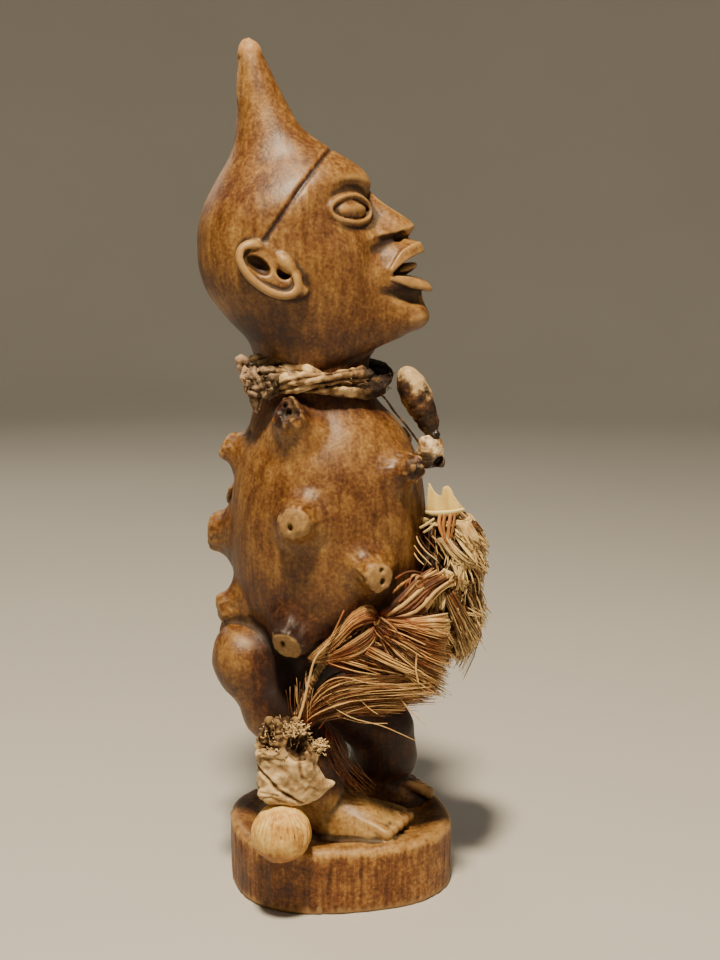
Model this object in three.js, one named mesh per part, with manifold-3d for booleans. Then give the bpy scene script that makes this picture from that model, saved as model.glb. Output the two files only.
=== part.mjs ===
// A carved wooden Kongo power figure: an upturned head with a tall pointed crown, an egg-shaped trunk
// studded with knobs, bent legs and a low round-cornered base, all cut from one block. Tied to it are
// a twisted neck cloth, a pod and a shell at the chest, a fibre packet at the belly, a waist cord
// with fibre and feather tufts, and a cloth packet with a nut that hangs beside the near leg.
// Millimetres, +Z up. The figure faces +X, and -Y is its right side, the one seen in the photograph.
// The origin is the middle of the base's underside.
import * as THREE from "three";
import { mergeVertices } from "three/addons/utils/BufferGeometryUtils.js";
import Module from "manifold-3d";

const wasm = await Module();
wasm.setup();

// Driving dimensions
const BASE = { length: 80.5, width: 74, height: 23.5, edge: 3.2, foot: 1.6, squareness: 2.5, turn: 12 };
const TRUNK = { x: -4, z: 129, halfDepth: 35, halfWidth: 33, halfHeight: 50, squareness: 2.42 };
const KNOB = { root: 8.2, waist: 5.7, rim: 4.9, length: 9.2, hole: 1.3, holeDepth: 1.8, sunk: 3 };
const NECK = { x: -9, z: 190, halfDepth: 19.5, halfWidth: 17, low: 168, high: 206 };
const HEAD_TILT = 19; // degrees, leaning back, so that the face looks up
const GAP = 0.3; // between pieces that touch
const SIMPLE = 0.18; // facets flatter than this are merged
const CARVED_SIMPLE = 0.32; // the same for the big carved block
const FAR_STEP = 8.5; // how far the left foot stands ahead of the right one

const v3 = (x, y, z) => new THREE.Vector3(x, y, z);
const radians = THREE.MathUtils.degToRad;

// Solids from three.js geometry

// A closed three.js geometry as a manifold solid, turned right side out if it was made inside out.
function solid(geometry) {
  const bare = geometry.clone().deleteAttribute("normal").deleteAttribute("uv");
  const merged = mergeVertices(bare, 1e-4);
  const vertProperties = new Float32Array(merged.attributes.position.array);
  const triVerts = new Uint32Array(merged.index.array);
  const made = new wasm.Manifold(new wasm.Mesh({ numProp: 3, vertProperties, triVerts }));
  if (made.volume() > 0) return made;
  for (let i = 0; i < triVerts.length; i += 3) triVerts.subarray(i, i + 3).reverse();
  return new wasm.Manifold(new wasm.Mesh({ numProp: 3, vertProperties, triVerts }));
}

// Each result is worked out at once, by asking for its facet count, and not again when it is used.
const settle = (shape) => (shape.numTri() ? shape : shape);
const join = (...solids) => settle(wasm.Manifold.union(solids.flat(2)));
const cut = (whole, ...tools) => settle(wasm.Manifold.difference([whole, ...tools.flat(2)]));

// Skins a list of rings of equal point count. Open rows get a flat fan at each end.
function skin(rings, closed = false) {
  const count = rings[0].length;
  const points = rings.flat();
  const index = [];
  const rows = closed ? rings.length : rings.length - 1;
  for (let i = 0; i < rows; i++) {
    const row = i * count;
    const next = ((i + 1) % rings.length) * count;
    for (let j = 0; j < count; j++) {
      const k = (j + 1) % count;
      index.push(row + j, row + k, next + k, row + j, next + k, next + j);
    }
  }
  if (!closed) {
    for (const [ring, flip] of [[0, true], [rings.length - 1, false]]) {
      const middle = rings[ring].reduce((sum, p) => sum.add(p), v3(0, 0, 0)).divideScalar(count);
      const hub = points.push(middle) - 1;
      for (let j = 0; j < count; j++) {
        const a = ring * count + j;
        const b = ring * count + ((j + 1) % count);
        index.push(hub, flip ? b : a, flip ? a : b);
      }
    }
  }
  const geometry = new THREE.BufferGeometry().setFromPoints(points).setIndex(index);
  return solid(geometry);
}

// One oval ring: centre, two half-axis vectors, and how square its corners are (2 is an ellipse).
function oval(centre, across, along, count, squareness = 2) {
  const power = 2 / squareness;
  return Array.from({ length: count }, (_, i) => {
    const angle = (i / count) * 2 * Math.PI;
    const c = Math.sign(Math.cos(angle)) * Math.abs(Math.cos(angle)) ** power;
    const s = Math.sign(Math.sin(angle)) * Math.abs(Math.sin(angle)) ** power;
    return centre.clone().addScaledVector(across, c).addScaledVector(along, s);
  });
}

// An ellipsoid of three radii, with its own turn, at a place.
function ellipsoid(place, radii, turn = [0, 0, 0], around = 16, rows = 10) {
  const geometry = new THREE.SphereGeometry(1, around, rows).rotateX(Math.PI / 2).scale(...radii);
  geometry.applyQuaternion(new THREE.Quaternion().setFromEuler(new THREE.Euler(...turn.map(radians))));
  return solid(geometry.translate(...place));
}

// A limb along a smooth path: each station is [x, y, z, half-depth, half-width].
function limb(stations, steps = 8, count = 9) {
  const path = new THREE.CatmullRomCurve3(stations.map(([x, y, z]) => v3(x, y, z)), false, "centripetal");
  const rings = Array.from({ length: steps + 1 }, (_, i) => {
    const t = i / steps;
    const at = Math.min(Math.floor(t * (stations.length - 1)), stations.length - 2);
    const share = t * (stations.length - 1) - at;
    const [here, ahead] = [stations[at], stations[at + 1]];
    const [depth, width] = [3, 4].map((k) => THREE.MathUtils.lerp(here[k], ahead[k], share));
    const tangent = path.getTangent(t);
    const side = v3(0, 1, 0).cross(tangent).normalize();
    return oval(path.getPoint(t), side.multiplyScalar(depth), v3(0, width, 0), count);
  });
  return skin(rings);
}

// A smooth value between the rows of a table whose first column is the place: a cubic through them.
function between(rows, place, column) {
  const last = rows.length - 1;
  const i = Math.max(0, Math.min(last - 1, rows.findIndex((row) => row[0] > place) - 1));
  const at = place >= rows[last][0] ? last - 1 : i;
  const [a, b] = [rows[at], rows[at + 1]];
  const slope = (k) => {
    const [low, high] = [rows[Math.max(0, k - 1)], rows[Math.min(last, k + 1)]];
    return (high[column] - low[column]) / (high[0] - low[0]);
  };
  const span = b[0] - a[0];
  const t = THREE.MathUtils.clamp((place - a[0]) / span, 0, 1);
  const [t2, t3] = [t * t, t * t * t];
  return (
    (2 * t3 - 3 * t2 + 1) * a[column] + (t3 - 2 * t2 + t) * span * slope(at) +
    (3 * t2 - 2 * t3) * b[column] + (t3 - t2) * span * slope(at + 1)
  );
}

// Head

// The head is modelled upright about the top of the neck: forward, left and up, then tilted back.
const headTurn = new THREE.Matrix4().makeRotationY(radians(-HEAD_TILT)).setPosition(NECK.x, 0, NECK.z);
const placeHead = (shape) => shape.transform(headTurn.toArray());

// Height, back of the head, front, half-width and where it is widest, up to the tip of the crown.
const SKULL = [
  [-2.5, -16, 24, 14, 4],
  [0, -17, 31, 17, 4],
  [5, -17.6, 34, 19.5, 4],
  [13, -18.8, 34, 23, 3],
  [24, -23.6, 34.4, 26, 2],
  [35, -27, 36, 27, 1],
  [44, -26.9, 36.8, 26.8, 1],
  [51, -24.8, 38, 26, 2],
  [58, -21.6, 36.6, 23.5, 4],
  [65, -16.4, 31.4, 18.8, 6],
  [70, -11, 27, 15, 8],
  [76, -4.2, 23.2, 11.8, 10],
  [85, 1.4, 20.8, 9, 11],
  [95, 5, 19.3, 6.9, 12],
  [104, 8.6, 18.2, 4.9, 13.4],
  [109, 10.8, 17.4, 3.4, 14.1],
  [111, 13, 15.6, 1.3, 14.3],
];
const SKULL_SQUARENESS = 2.15;
const HAIRLINE = { front: [30, 66.8], ear: [-1.5, 45], width: 1.1 };

function skullRing(height, count) {
  const [back, front, wide, middle] = [1, 2, 3, 4].map((column) => between(SKULL, height, column));
  return oval(v3(0, 0, height), v3(1, 0, 0), v3(0, wide, 0), count, SKULL_SQUARENESS).map((p) =>
    v3(middle + p.x * (p.x > 0 ? front - middle : middle - back), p.y, height),
  );
}

function skull() {
  const rows = SKULL.slice(0, -1).flatMap(([height], i) => {
    const next = SKULL[i + 1][0];
    const steps = Math.max(1, Math.round((next - height) / 8));
    return Array.from({ length: steps }, (_, k) => height + ((next - height) * k) / steps);
  });
  return skin([...rows, SKULL.at(-1)[0]].map((height) => skullRing(height, 18)));
}

// Where the skull's skin lies at a height and an angle from straight ahead.
function skullPoint(height, angle) {
  const [back, front, wide, middle] = [1, 2, 3, 4].map((column) => between(SKULL, height, column));
  const power = 2 / SKULL_SQUARENESS;
  const [c, s] = [Math.cos(angle), Math.sin(angle)];
  const reach = c > 0 ? front - middle : middle - back;
  return v3(
    middle + Math.sign(c) * Math.abs(c) ** power * reach,
    Math.sign(s) * Math.abs(s) ** power * wide,
    height,
  );
}

// The incised hairline runs in one slanting plane from above the forehead to each ear.
function hairline() {
  const [[frontF, frontU], [earF, earU]] = [HAIRLINE.front, HAIRLINE.ear];
  const slope = (frontU - earU) / (frontF - earF);
  const half = 12;
  const points = Array.from({ length: 2 * half + 1 }, (_, i) => {
    const angle = ((i - half) / half) * radians(93);
    let height = frontU;
    for (let k = 0; k < 12; k++) height = earU + slope * (skullPoint(height, angle).x - earF);
    return skullPoint(height, angle);
  });
  const path = new THREE.CatmullRomCurve3(points);
  const rings = Array.from({ length: 13 }, (_, i) => {
    const t = i / 12;
    const tangent = path.getTangent(t);
    const out = v3(-slope, 0, 1).normalize().cross(tangent).normalize();
    const up = tangent.clone().cross(out);
    const w = HAIRLINE.width;
    return oval(path.getPoint(t), up.multiplyScalar(w), out.multiplyScalar(w), 3);
  });
  return skin(rings);
}

// Height, how far forward the ridge stands, and half-width, from the bridge down to the wings.
const NOSE = [
  [48, 37.2, 1.6],
  [45, 39.8, 2.6],
  [40, 43.8, 4],
  [36.5, 46.6, 6.2],
  [33.5, 48, 8],
  [31.2, 46.6, 7.8],
  [30, 43, 6],
];

function nose() {
  const rootDepth = 30;
  const rings = NOSE.toReversed().map(([height, ridge, wide]) =>
    oval(v3(rootDepth, 0, height), v3(ridge - rootDepth, 0, 0), v3(0, wide, 0), 10, 1.8),
  );
  const nostrils = [-1, 1].map((side) => ellipsoid([42.6, side * 4, 30], [3, 2, 2.4], [0, 0, 0], 6, 4));
  const wings = [-1, 1].map((side) => ellipsoid([40, side * 5.8, 33.4], [4.6, 3, 3.2], [0, 16, 0], 6, 4));
  return cut(join(skin(rings), wings), nostrils);
}

// Height, front and half-width of the muzzle, from under the chin to under the nose.
const MUZZLE = [
  [-1.4, 33, 8.5],
  [1.5, 40.6, 10.4],
  [6, 43.2, 11.6],
  [12, 44.6, 12.6],
  [18, 44.8, 13],
  [24, 46.6, 12.2],
  [27.4, 47, 10.6],
  [29.6, 44.8, 8.8],
  [30.6, 40, 7],
];
const MOUTH = { corner: 34.4, front: 50, height: 18.6, gape: 6.4 };

// The open mouth is a wedge cut right across the muzzle, with a lip above and below and a tongue.
function muzzle() {
  const root = 26;
  const rings = MUZZLE.map(([height, front, wide]) =>
    oval(v3(root, 0, height), v3(front - root, 0, 0), v3(0, wide, 0), 12, 2.2),
  );
  const { corner, front, height, gape } = MOUTH;
  const wedge = new THREE.CylinderGeometry(1, 1, 40, 8);
  wedge.scale(front - corner, 1, gape).translate(front, 0, height);
  const upperLip = ellipsoid([37.8, 0, 23.2], [10.2, 11, 2.6], [0, -24, 0], 12, 4);
  const lowerLip = ellipsoid([37.4, 0, 14.2], [11, 10.8, 2.6], [0, 24, 0], 12, 4);
  const throat = ellipsoid([32, 0, 18.6], [6.4, 9.4, 5], [0, 0, 0], 8, 4);
  const tongue = ellipsoid([38.4, 0, 20], [7.6, 6.4, 1.9], [0, -2, 0], 8, 4);
  return join(cut(skin(rings), solid(wedge)), upperLip, lowerLip, throat, tongue);
}

const EYE = { height: 44.6, angle: 32, half: 5.9, high: 3.5, lid: 7.8, lidHigh: 5.1, rim: 1.2, slant: -11 };

// An eye bulges inside a raised rim, in a shallow socket under the forehead.
function eye(side) {
  const angle = side * radians(EYE.angle);
  const place = skullPoint(EYE.height, angle);
  const outward = v3(Math.cos(angle * 1.25), Math.sin(angle * 1.25), 0.04).normalize();
  const along = v3(0, 0, 1).cross(outward).normalize().multiplyScalar(side);
  const up = outward.clone().cross(along).multiplyScalar(side);
  const frame = new THREE.Matrix4().makeBasis(along.multiplyScalar(side), up, outward);
  const slant = new THREE.Matrix4().makeRotationZ(-side * radians(EYE.slant));
  const put = (geometry, depth) =>
    solid(
      geometry
        .applyMatrix4(slant)
        .applyMatrix4(frame)
        .translate(...place.clone().addScaledVector(outward, depth).toArray()),
    );
  const dome = (around) => new THREE.SphereGeometry(1, around, 6).rotateX(Math.PI / 2);
  const ball = dome(8).scale(EYE.half, EYE.high, 2.6);
  const rim = new THREE.TorusGeometry(1, EYE.rim / EYE.lid, 4, 14).scale(EYE.lid, EYE.lidHigh, EYE.lid);
  const socket = dome(10).scale(EYE.lid + 2, EYE.lidHigh + 2.2, 2.2);
  return { socket: put(socket, 0.6), form: [put(ball, -0.9), put(rim, -0.9)] };
}

const EAR = { f: -2.2, u: 35.2, half: 13.6, wide: 7.4, lean: 33, thick: 6 };

// An ear is an oval dish leaning forward at its foot, hollowed inside its rim, with a small tragus.
function ear(side) {
  const y = side * (between(SKULL, EAR.u, 3) - 1.5);
  const lean = [0, -EAR.lean, 0];
  const dish = ellipsoid([EAR.f, y, EAR.u], [EAR.wide, EAR.thick, EAR.half], lean, 10, 6);
  const hollow = ellipsoid(
    [EAR.f + 0.6, y + side * EAR.thick * 0.95, EAR.u + 1.6],
    [EAR.wide - 2.1, EAR.thick * 0.72, EAR.half - 3.4], lean, 8, 5,
  );
  const tragus = ellipsoid([EAR.f + 5.4, y + side * 2.2, EAR.u + 0.4], [2.7, 2.6, 4], lean, 6, 4);
  return join(cut(dish, hollow), tragus);
}

function head() {
  const eyes = [-1, 1].map(eye);
  const sockets = eyes.map((one) => one.socket);
  const features = [muzzle(), nose(), eyes.map((one) => one.form), [-1, 1].map(ear)];
  return placeHead(cut(join(cut(skull(), sockets), features.flat()), hairline()));
}

// Trunk

// How much of the trunk's full girth is left at a height.
const girth = (z) => {
  const share = Math.min(1, Math.abs(z - TRUNK.z) / TRUNK.halfHeight);
  return (1 - share ** TRUNK.squareness) ** (1 / TRUNK.squareness);
};

// The trunk's skin at a height and a bearing from -Y towards +X, pushed out by a margin.
function trunkPoint(bearing, z, out = 0) {
  const g = girth(z);
  const [s, c] = [Math.sin(radians(bearing)), Math.cos(radians(bearing))];
  return v3(TRUNK.x + s * (TRUNK.halfDepth * g + out), -c * (TRUNK.halfWidth * g + out), z);
}

function trunk() {
  const rows = 10;
  const count = 20;
  const rings = Array.from({ length: rows + 1 }, (_, i) => {
    const lean = (0.035 + (i / rows) * 0.93) * Math.PI;
    const z = TRUNK.z - TRUNK.halfHeight * Math.sign(Math.cos(lean)) * Math.abs(Math.cos(lean)) ** 0.9;
    const g = girth(z);
    return oval(v3(TRUNK.x, 0, z), v3(TRUNK.halfDepth * g, 0, 0), v3(0, TRUNK.halfWidth * g, 0), count);
  });
  return skin(rings);
}

// Bearing and height of each knob, with its own share of the length and of the width: the near side
// as seen, the far side in the same loose rows.
const KNOBS = [
  [-27, 169, 1.1, 1.15], [50, 154, 0.9, 0.9], [-14, 138.5, 1.05, 1.08], [25, 121.5, 1.05, 1],
  [-22, 98.5, 1, 1.14], [-80, 103.5, 0.95, 1.02], [-96, 158, 0.82, 0.95], [-98, 128, 0.98, 1.22],
  [-122, 138, 0.9, 0.9], [-140, 170, 0.9, 0.95], [-160, 133, 1, 1], [-128, 109, 0.95, 1],
  [-156, 97, 1, 1], [156, 119, 1, 0.95], [134, 157, 0.95, 1], [166, 160, 1, 1],
];

function knob([bearing, z, tall, broad]) {
  const { root, waist, rim, length, hole, holeDepth, sunk } = KNOB;
  const profile = [
    [0, -sunk], [root, -sunk], [root, -0.6], [waist, 2.6], [rim, length * 0.8],
    [rim * 0.72, length], [hole, length], [0, length - holeDepth],
  ];
  const outline = profile.map(([r, h]) => new THREE.Vector2(r * broad, h * tall));
  const stub = new THREE.LatheGeometry(outline, 6);
  const place = trunkPoint(bearing, z);
  const step = 0.5;
  const up = trunkPoint(bearing, z + step).sub(trunkPoint(bearing, z - step));
  const side = trunkPoint(bearing + step, z).sub(trunkPoint(bearing - step, z));
  const outward = side.cross(up).normalize();
  const turn = new THREE.Quaternion().setFromUnitVectors(v3(0, 1, 0), outward);
  return solid(stub.applyQuaternion(turn).translate(...place.toArray()));
}

function neck() {
  const rows = [[NECK.low, 1.15], [180, 1.06], [188, 1], [196, 0.98], [NECK.high, 1.02]];
  return skin(
    rows.map(([z, share]) =>
      oval(v3(NECK.x, 0, z), v3(NECK.halfDepth * share, 0, 0), v3(0, NECK.halfWidth * share, 0), 16),
    ),
  );
}

// Legs and base

const FLOOR = BASE.height;

// side is -1 for the right leg, nearest in the photograph, and 1 for the left, which strides ahead.
const LEGS = {
  [-1]: [
    [-30, -13, 86, 11.5, 11],
    [-23, -15, 68, 11, 11],
    [-8, -17, 51, 10.4, 10],
    [-9, -17, 40, 9, 9],
    [-5, -16, FLOOR + 5, 7.6, 7.6],
  ],
  [1]: [
    [-26, 13, 86, 12, 11],
    [-10, 15, 68, 12, 11.5],
    [15.5, 17, 48, 11.6, 11],
    [17, 17.5, 39, 11.4, 10.6],
    [8, 17, FLOOR + 5, 9, 8.6],
  ],
};

const leg = (side) => limb(LEGS[side]);
const buttock = (side) => ellipsoid([-35.5, side * 13, 84.5], [9.5, 12, 13.5], [0, -12, 0], 12, 7);
const pelvis = () => ellipsoid([-14, 0, 80], [18, 20, 12], [0, 0, 0], 12, 6);

const FOOT = { heelX: -9, y: 13.5, splay: 12, toe: 4.5 };

// A broad blunt foot with five toes, turned out a little, sunk slightly into the top of the base.
function foot(side) {
  const rows = [
    [-1, 5, 6], [1.5, 8, 10.5], [7, 9.6, 13], [14, 10.6, 12.6],
    [22, 11.6, 10], [28, 11.4, 7.4], [30.5, 10, 5],
  ];
  const rings = rows.map(([x, half, high]) =>
    oval(v3(x, 0, high / 2 - 0.8), v3(0, half, 0), v3(0, 0, high / 2 + 0.8), 10, 2.4),
  );
  const toes = [2, 1, 0, -1, -2].map((inward, i) =>
    ellipsoid([31 - i * 1.1, -side * inward * FOOT.toe, 3], [4.6, 2.5, 3.6], [0, 6, 0], 6, 4),
  );
  const place = new THREE.Matrix4()
    .makeRotationZ(side * radians(FOOT.splay))
    .setPosition(FOOT.heelX + (side > 0 ? FAR_STEP : 0), side * FOOT.y, FLOOR);
  return join(skin(rings), toes).transform(place.toArray());
}

function base() {
  const { length, width, height, edge, foot: chamfer, squareness, turn } = BASE;
  const rows = [
    [0, chamfer], [chamfer, 0], [height - edge, 0.2], [height - edge * 0.35, edge * 0.35], [height, edge],
  ];
  const rings = rows.map(([z, inset]) =>
    oval(v3(0, 0, z), v3(length / 2 - inset, 0, 0), v3(0, width / 2 - inset, 0), 28, squareness),
  );
  return skin(rings).rotate([0, 0, turn]);
}

function carvedFigure() {
  const pairs = [-1, 1].map((side) => [foot(side), leg(side), buttock(side)]);
  const whole = join(base(), ...pairs, pelvis(), trunk(), KNOBS.map(knob), neck(), head());
  return whole.simplify(CARVED_SIMPLE);
}

// Ties and attachments

// A cord or cloth twist round a closed path: the lobed section turns as it goes.
function twist(path, steps, radius, lobes, turns, depth, count) {
  const frames = path.computeFrenetFrames(steps, true);
  const rings = Array.from({ length: steps }, (_, i) => {
    const t = i / steps;
    const centre = path.getPointAt(t);
    return Array.from({ length: count }, (_, j) => {
      const angle = (j / count) * 2 * Math.PI;
      const phase = lobes * angle + turns * t * 2 * Math.PI;
      const r = radius * (1 - depth + depth * Math.cos(phase));
      return centre
        .clone()
        .addScaledVector(frames.normals[i], r * Math.cos(angle))
        .addScaledVector(frames.binormals[i], r * Math.sin(angle));
    });
  });
  return skin(rings, true);
}

const NECK_CLOTH = { x: -7.6, z: 185.4, halfDepth: 21.2, halfWidth: 19.4, thick: 5.6, rise: 1.8 };

function neckCloth() {
  const points = Array.from({ length: 16 }, (_, i) => {
    const angle = (i / 16) * 2 * Math.PI;
    const z = NECK_CLOTH.z - NECK_CLOTH.rise * Math.cos(angle);
    const x = NECK_CLOTH.x + NECK_CLOTH.halfDepth * Math.cos(angle);
    return v3(x, NECK_CLOTH.halfWidth * Math.sin(angle), z);
  });
  const path = new THREE.CatmullRomCurve3(points, true);
  return twist(path, 24, NECK_CLOTH.thick, 3, 5, 0.16, 7);
}

const NAPE = { place: [-25.5, -16.5, 184.4], radii: [8, 6.6, 6.6] };

// The knot at the nape: a lump with a ragged end behind it and a short one below.
function napeKnot() {
  const [x, y, z] = NAPE.place;
  return join(
    ellipsoid(NAPE.place, NAPE.radii, [10, 10, 0], 12, 7),
    ellipsoid([x - 7, y + 1.5, z + 2], [3, 3, 6], [0, -18, 0], 7, 5),
    ellipsoid([x - 2.5, y - 1.5, z - 6.5], [3, 2.8, 4.4], [0, 15, 0], 7, 5),
  );
}

const POD = { top: [24.2, -3, 186], foot: [32.6, -4, 165], half: 6 };

// The chest pendant: a long pod, blunt above and drawn in at its foot, with two small lugs there.
function chestPod() {
  const [top, bottom] = [v3(...POD.top), v3(...POD.foot)];
  const axis = bottom.clone().sub(top);
  const side = v3(0, 1, 0);
  const out = axis.clone().normalize().cross(side);
  const rows = [
    [-0.1, 0.42], [0, 0.8], [0.14, 1], [0.4, 1.04],
    [0.66, 0.88], [0.88, 0.6], [1, 0.44], [1.04, 0.2],
  ];
  const rings = rows.map(([t, share]) => {
    const deep = out.clone().multiplyScalar(-POD.half * share);
    const wide = side.clone().multiplyScalar(POD.half * 0.92 * share);
    return oval(top.clone().addScaledVector(axis, t), deep, wide, 11);
  });
  const [x, y, z] = POD.foot;
  const lug = (s) => ellipsoid([x + 0.6, y + s * 1.9, z - 0.6], [1.7, 1.6, 2], [0, 0, 0], 6, 4);
  const lugs = [lug(-1), lug(1)];
  return join(skin(rings), lugs);
}

const SHELL = { place: [31.6, -5, 158], bend: 4, tube: 3.4 };

// The small curled shell under it: a tapering tube turned through three quarters of a circle.
function shell() {
  const steps = 10;
  const [x, y, z] = SHELL.place;
  const rings = Array.from({ length: steps + 1 }, (_, i) => {
    const angle = radians(150 - (i / steps) * 235);
    const out = v3(Math.cos(angle), 0, Math.sin(angle));
    const tube = SHELL.tube * (0.35 + 0.65 * (i / steps) ** 0.7);
    return oval(v3(x, y, z).addScaledVector(out, SHELL.bend), out.multiplyScalar(tube), v3(0, tube, 0), 8);
  });
  const mouth = rings.at(-1).reduce((sum, p) => sum.add(p), v3(0, 0, 0)).divideScalar(8);
  return cut(skin(rings), ellipsoid(mouth.toArray(), [2.2, 2.2, 2.2], [0, 0, 0], 6, 4));
}

const PACKET = { x: 38.5, y: -4, low: 84, high: 138 };

// The belly packet: a shaggy mass of cut fibre, drawn in at two ties, hollowed where it meets the trunk.
function bellyPacket() {
  const rows = [
    [0, 4, 8], [0.06, 8.5, 13], [0.2, 12, 17], [0.34, 13.4, 17.5], [0.46, 12, 16],
    [0.62, 14.2, 18], [0.8, 12.8, 16.5], [0.94, 9, 12.5], [1, 5, 8],
  ];
  const rings = rows.map(([t, deep, wide], row) => {
    const z = THREE.MathUtils.lerp(PACKET.low, PACKET.high, t);
    const centre = v3(PACKET.x - (t < 0.4 ? 1.5 : 0), PACKET.y, z);
    return oval(centre, v3(deep, 0, 0), v3(0, wide, 0), 16, 2.3).map((p, i) => {
      const shag = 1 + 0.07 * Math.sin(i * 2.4 + row * 1.9);
      return p.sub(centre).multiplyScalar(shag).add(centre);
    });
  });
  return skin(rings);
}

const LEAF = { x: 38, y: -9, z: 138.5, wide: 13, high: 8.5, thick: 1.2 };

// The pale folded leaf on top of the packet: a notched blade standing on a narrow ledge.
function paleLeaf() {
  const { wide, high, thick } = LEAF;
  const outline = new THREE.Shape();
  outline.moveTo(-wide / 2, 0);
  outline.lineTo(-wide / 2 + 0.4, high * 0.92);
  outline.lineTo(-wide * 0.1, high * 0.42);
  outline.lineTo(wide * 0.02, high * 0.95);
  outline.lineTo(wide * 0.16, high * 0.9);
  outline.lineTo(wide / 2, 0);
  const blade = new THREE.ExtrudeGeometry(outline, { depth: thick, bevelEnabled: false });
  blade.rotateX(Math.PI / 2);
  const ledge = new THREE.BoxGeometry(wide + 1.5, 3.2, 1.6).translate(0, -0.6, 0.2);
  return join(solid(blade), solid(ledge)).rotate([-14, 0, 0]).translate([LEAF.x, LEAF.y, LEAF.z]);
}

// The hip cord lies on the trunk from the belly packet, through the knot of the hip tuft, down over
// the hip to the neck of the cloth packet.
const HIP_CORD = [
  [27, -21, 108], [21, -25.2, 105], [13.5, -28.4, 102], [5, -29.6, 97], [-3, -29.6, 91],
  [-8, -29, 84], [-11, -28.8, 77], [-14.5, -31.6, 70.5],
];
const CORD_RADIUS = 1.4;

function hipCord() {
  const path = new THREE.CatmullRomCurve3(HIP_CORD.map((p) => v3(...p)));
  const steps = 18;
  const frames = path.computeFrenetFrames(steps, false);
  const rings = Array.from({ length: steps + 1 }, (_, i) => {
    const side = frames.normals[i].clone().multiplyScalar(CORD_RADIUS);
    const up = frames.binormals[i].clone().multiplyScalar(CORD_RADIUS);
    return oval(path.getPointAt(i / steps), side, up, 6);
  });
  return skin(rings);
}

// A tuft of fibre, upright in section: rows of [x, y, z, half-height, half-thickness] from tie to tip.
function tuft(rows, frill = 0.08) {
  const rings = rows.map(([x, y, z, high, thick], i) => {
    const ragged = frill * (i / rows.length);
    return oval(v3(x, y, z), v3(0, 0, high), v3(0, thick, 0), 12, 2.3).map((p, j) => {
      const spread = 1 + ragged * Math.sin(j * 2.7 + i);
      const push = ragged * high * Math.cos(j * 2.1);
      return v3(p.x + push, y + (p.y - y) * spread, z + (p.z - z) * spread);
    });
  });
  return skin(rings);
}

const FEATHER_TUFT = [
  [11.5, -29.4, 103, 2.2, 2],
  [17, -30, 100.5, 5, 2.8],
  [23, -30, 96.5, 8, 3.4],
  [30, -29.6, 91.5, 10.4, 3.6],
  [37, -28.6, 88.5, 11.4, 3.2],
];
const FOLDED_TUFT = [
  [13, -29.4, 104, 2.4, 2],
  [7, -31, 102, 6.2, 2.8],
  [1, -31.6, 97.5, 7.2, 3],
  [-4.5, -32, 92, 4.6, 2.6],
  [-8.5, -32, 88, 1.6, 1.6],
];
const SWEEP_TUFT = [
  [-9, -30, 71, 2.4, 2.2],
  [-3, -31, 77, 4.4, 3],
  [6, -32, 80, 5.4, 3.4],
  [17, -32.6, 79, 5.8, 3.6],
  [28, -32, 77, 5.4, 3.2],
  [36, -31, 76.5, 4.6, 2.6],
];

const CLOTH = { x: -18, y: -33.4, low: 41.6, high: 70 };

// The cloth packet beside the near leg: a squarish pouch of folded cloth with a flap at its front and
// a frayed tuft over it, bound at its top edge, with a crusted neck above.
function clothPacket() {
  const rows = [
    [0, 8, 0], [0.09, 9.9, 0], [0.32, 10.5, 0.2], [0.58, 10.3, 0.3],
    [0.66, 8.6, -0.5], [0.82, 7, -1], [0.94, 5.6, -0.6], [1, 3.8, 0],
  ];
  const rings = rows.map(([t, half, shift], row) => {
    const z = THREE.MathUtils.lerp(CLOTH.low, CLOTH.high, t);
    const centre = v3(CLOTH.x + shift, CLOTH.y - 2.6 * (1 - t), z);
    return oval(centre, v3(half, 0, 0), v3(0, half * 0.76, 0), 16, 2.6).map((p, i) => {
      const fold = 1 + 0.05 * Math.cos(i * 1.75 + row * 0.8);
      return p.sub(centre).multiplyScalar(fold).add(centre);
    });
  });
  const flap = ellipsoid([CLOTH.x + 10.6, CLOTH.y - 3, 46.6], [6.4, 3, 3], [0, 8, 0], 8, 5);
  const tuft = ellipsoid([CLOTH.x + 10, CLOTH.y - 2, 61.6], [4.6, 3.4, 3.4], [0, 0, 0], 8, 5);
  return join(skin(rings), flap, tuft);
}

const NUT = { place: [-19.6, -41, 32], radius: 10.1 };

// The hanging nut: a wooden ball, a little flattened, with shallow cracks running down it.
function hangingNut() {
  const cracks = 5;
  const rings = [0.1, 0.24, 0.38, 0.5, 0.62, 0.76, 0.9].map((t) => {
    const lean = t * Math.PI;
    const r = NUT.radius * Math.sin(lean);
    return oval(v3(0, 0, -NUT.radius * 0.97 * Math.cos(lean)), v3(r, 0, 0), v3(0, r, 0), 20).map((p, i) => {
      const crack = i % (20 / cracks) === 0 ? 0.95 : 1;
      return v3(p.x * crack, p.y * crack, p.z);
    });
  });
  return skin(rings).translate(NUT.place);
}

// Materials and the finished group

const finish = (color, roughness) => new THREE.MeshStandardMaterial({ color, roughness, metalness: 0 });
const looks = {
  wood: finish(0x4a2a16, 0.42),
  neckCloth: finish(0x8a6a42, 0.95),
  knotCloth: finish(0x4f4634, 0.98),
  pod: finish(0x6a4526, 0.6),
  shell: finish(0xc9b083, 0.5),
  fibre: finish(0x9a7442, 0.9),
  leaf: finish(0xd8ac5c, 0.8),
  feather: finish(0x6e4424, 0.85),
  packetCloth: finish(0x7d6240, 0.97),
  nut: finish(0xa9824c, 0.6),
};

const group = new THREE.Group();

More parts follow.
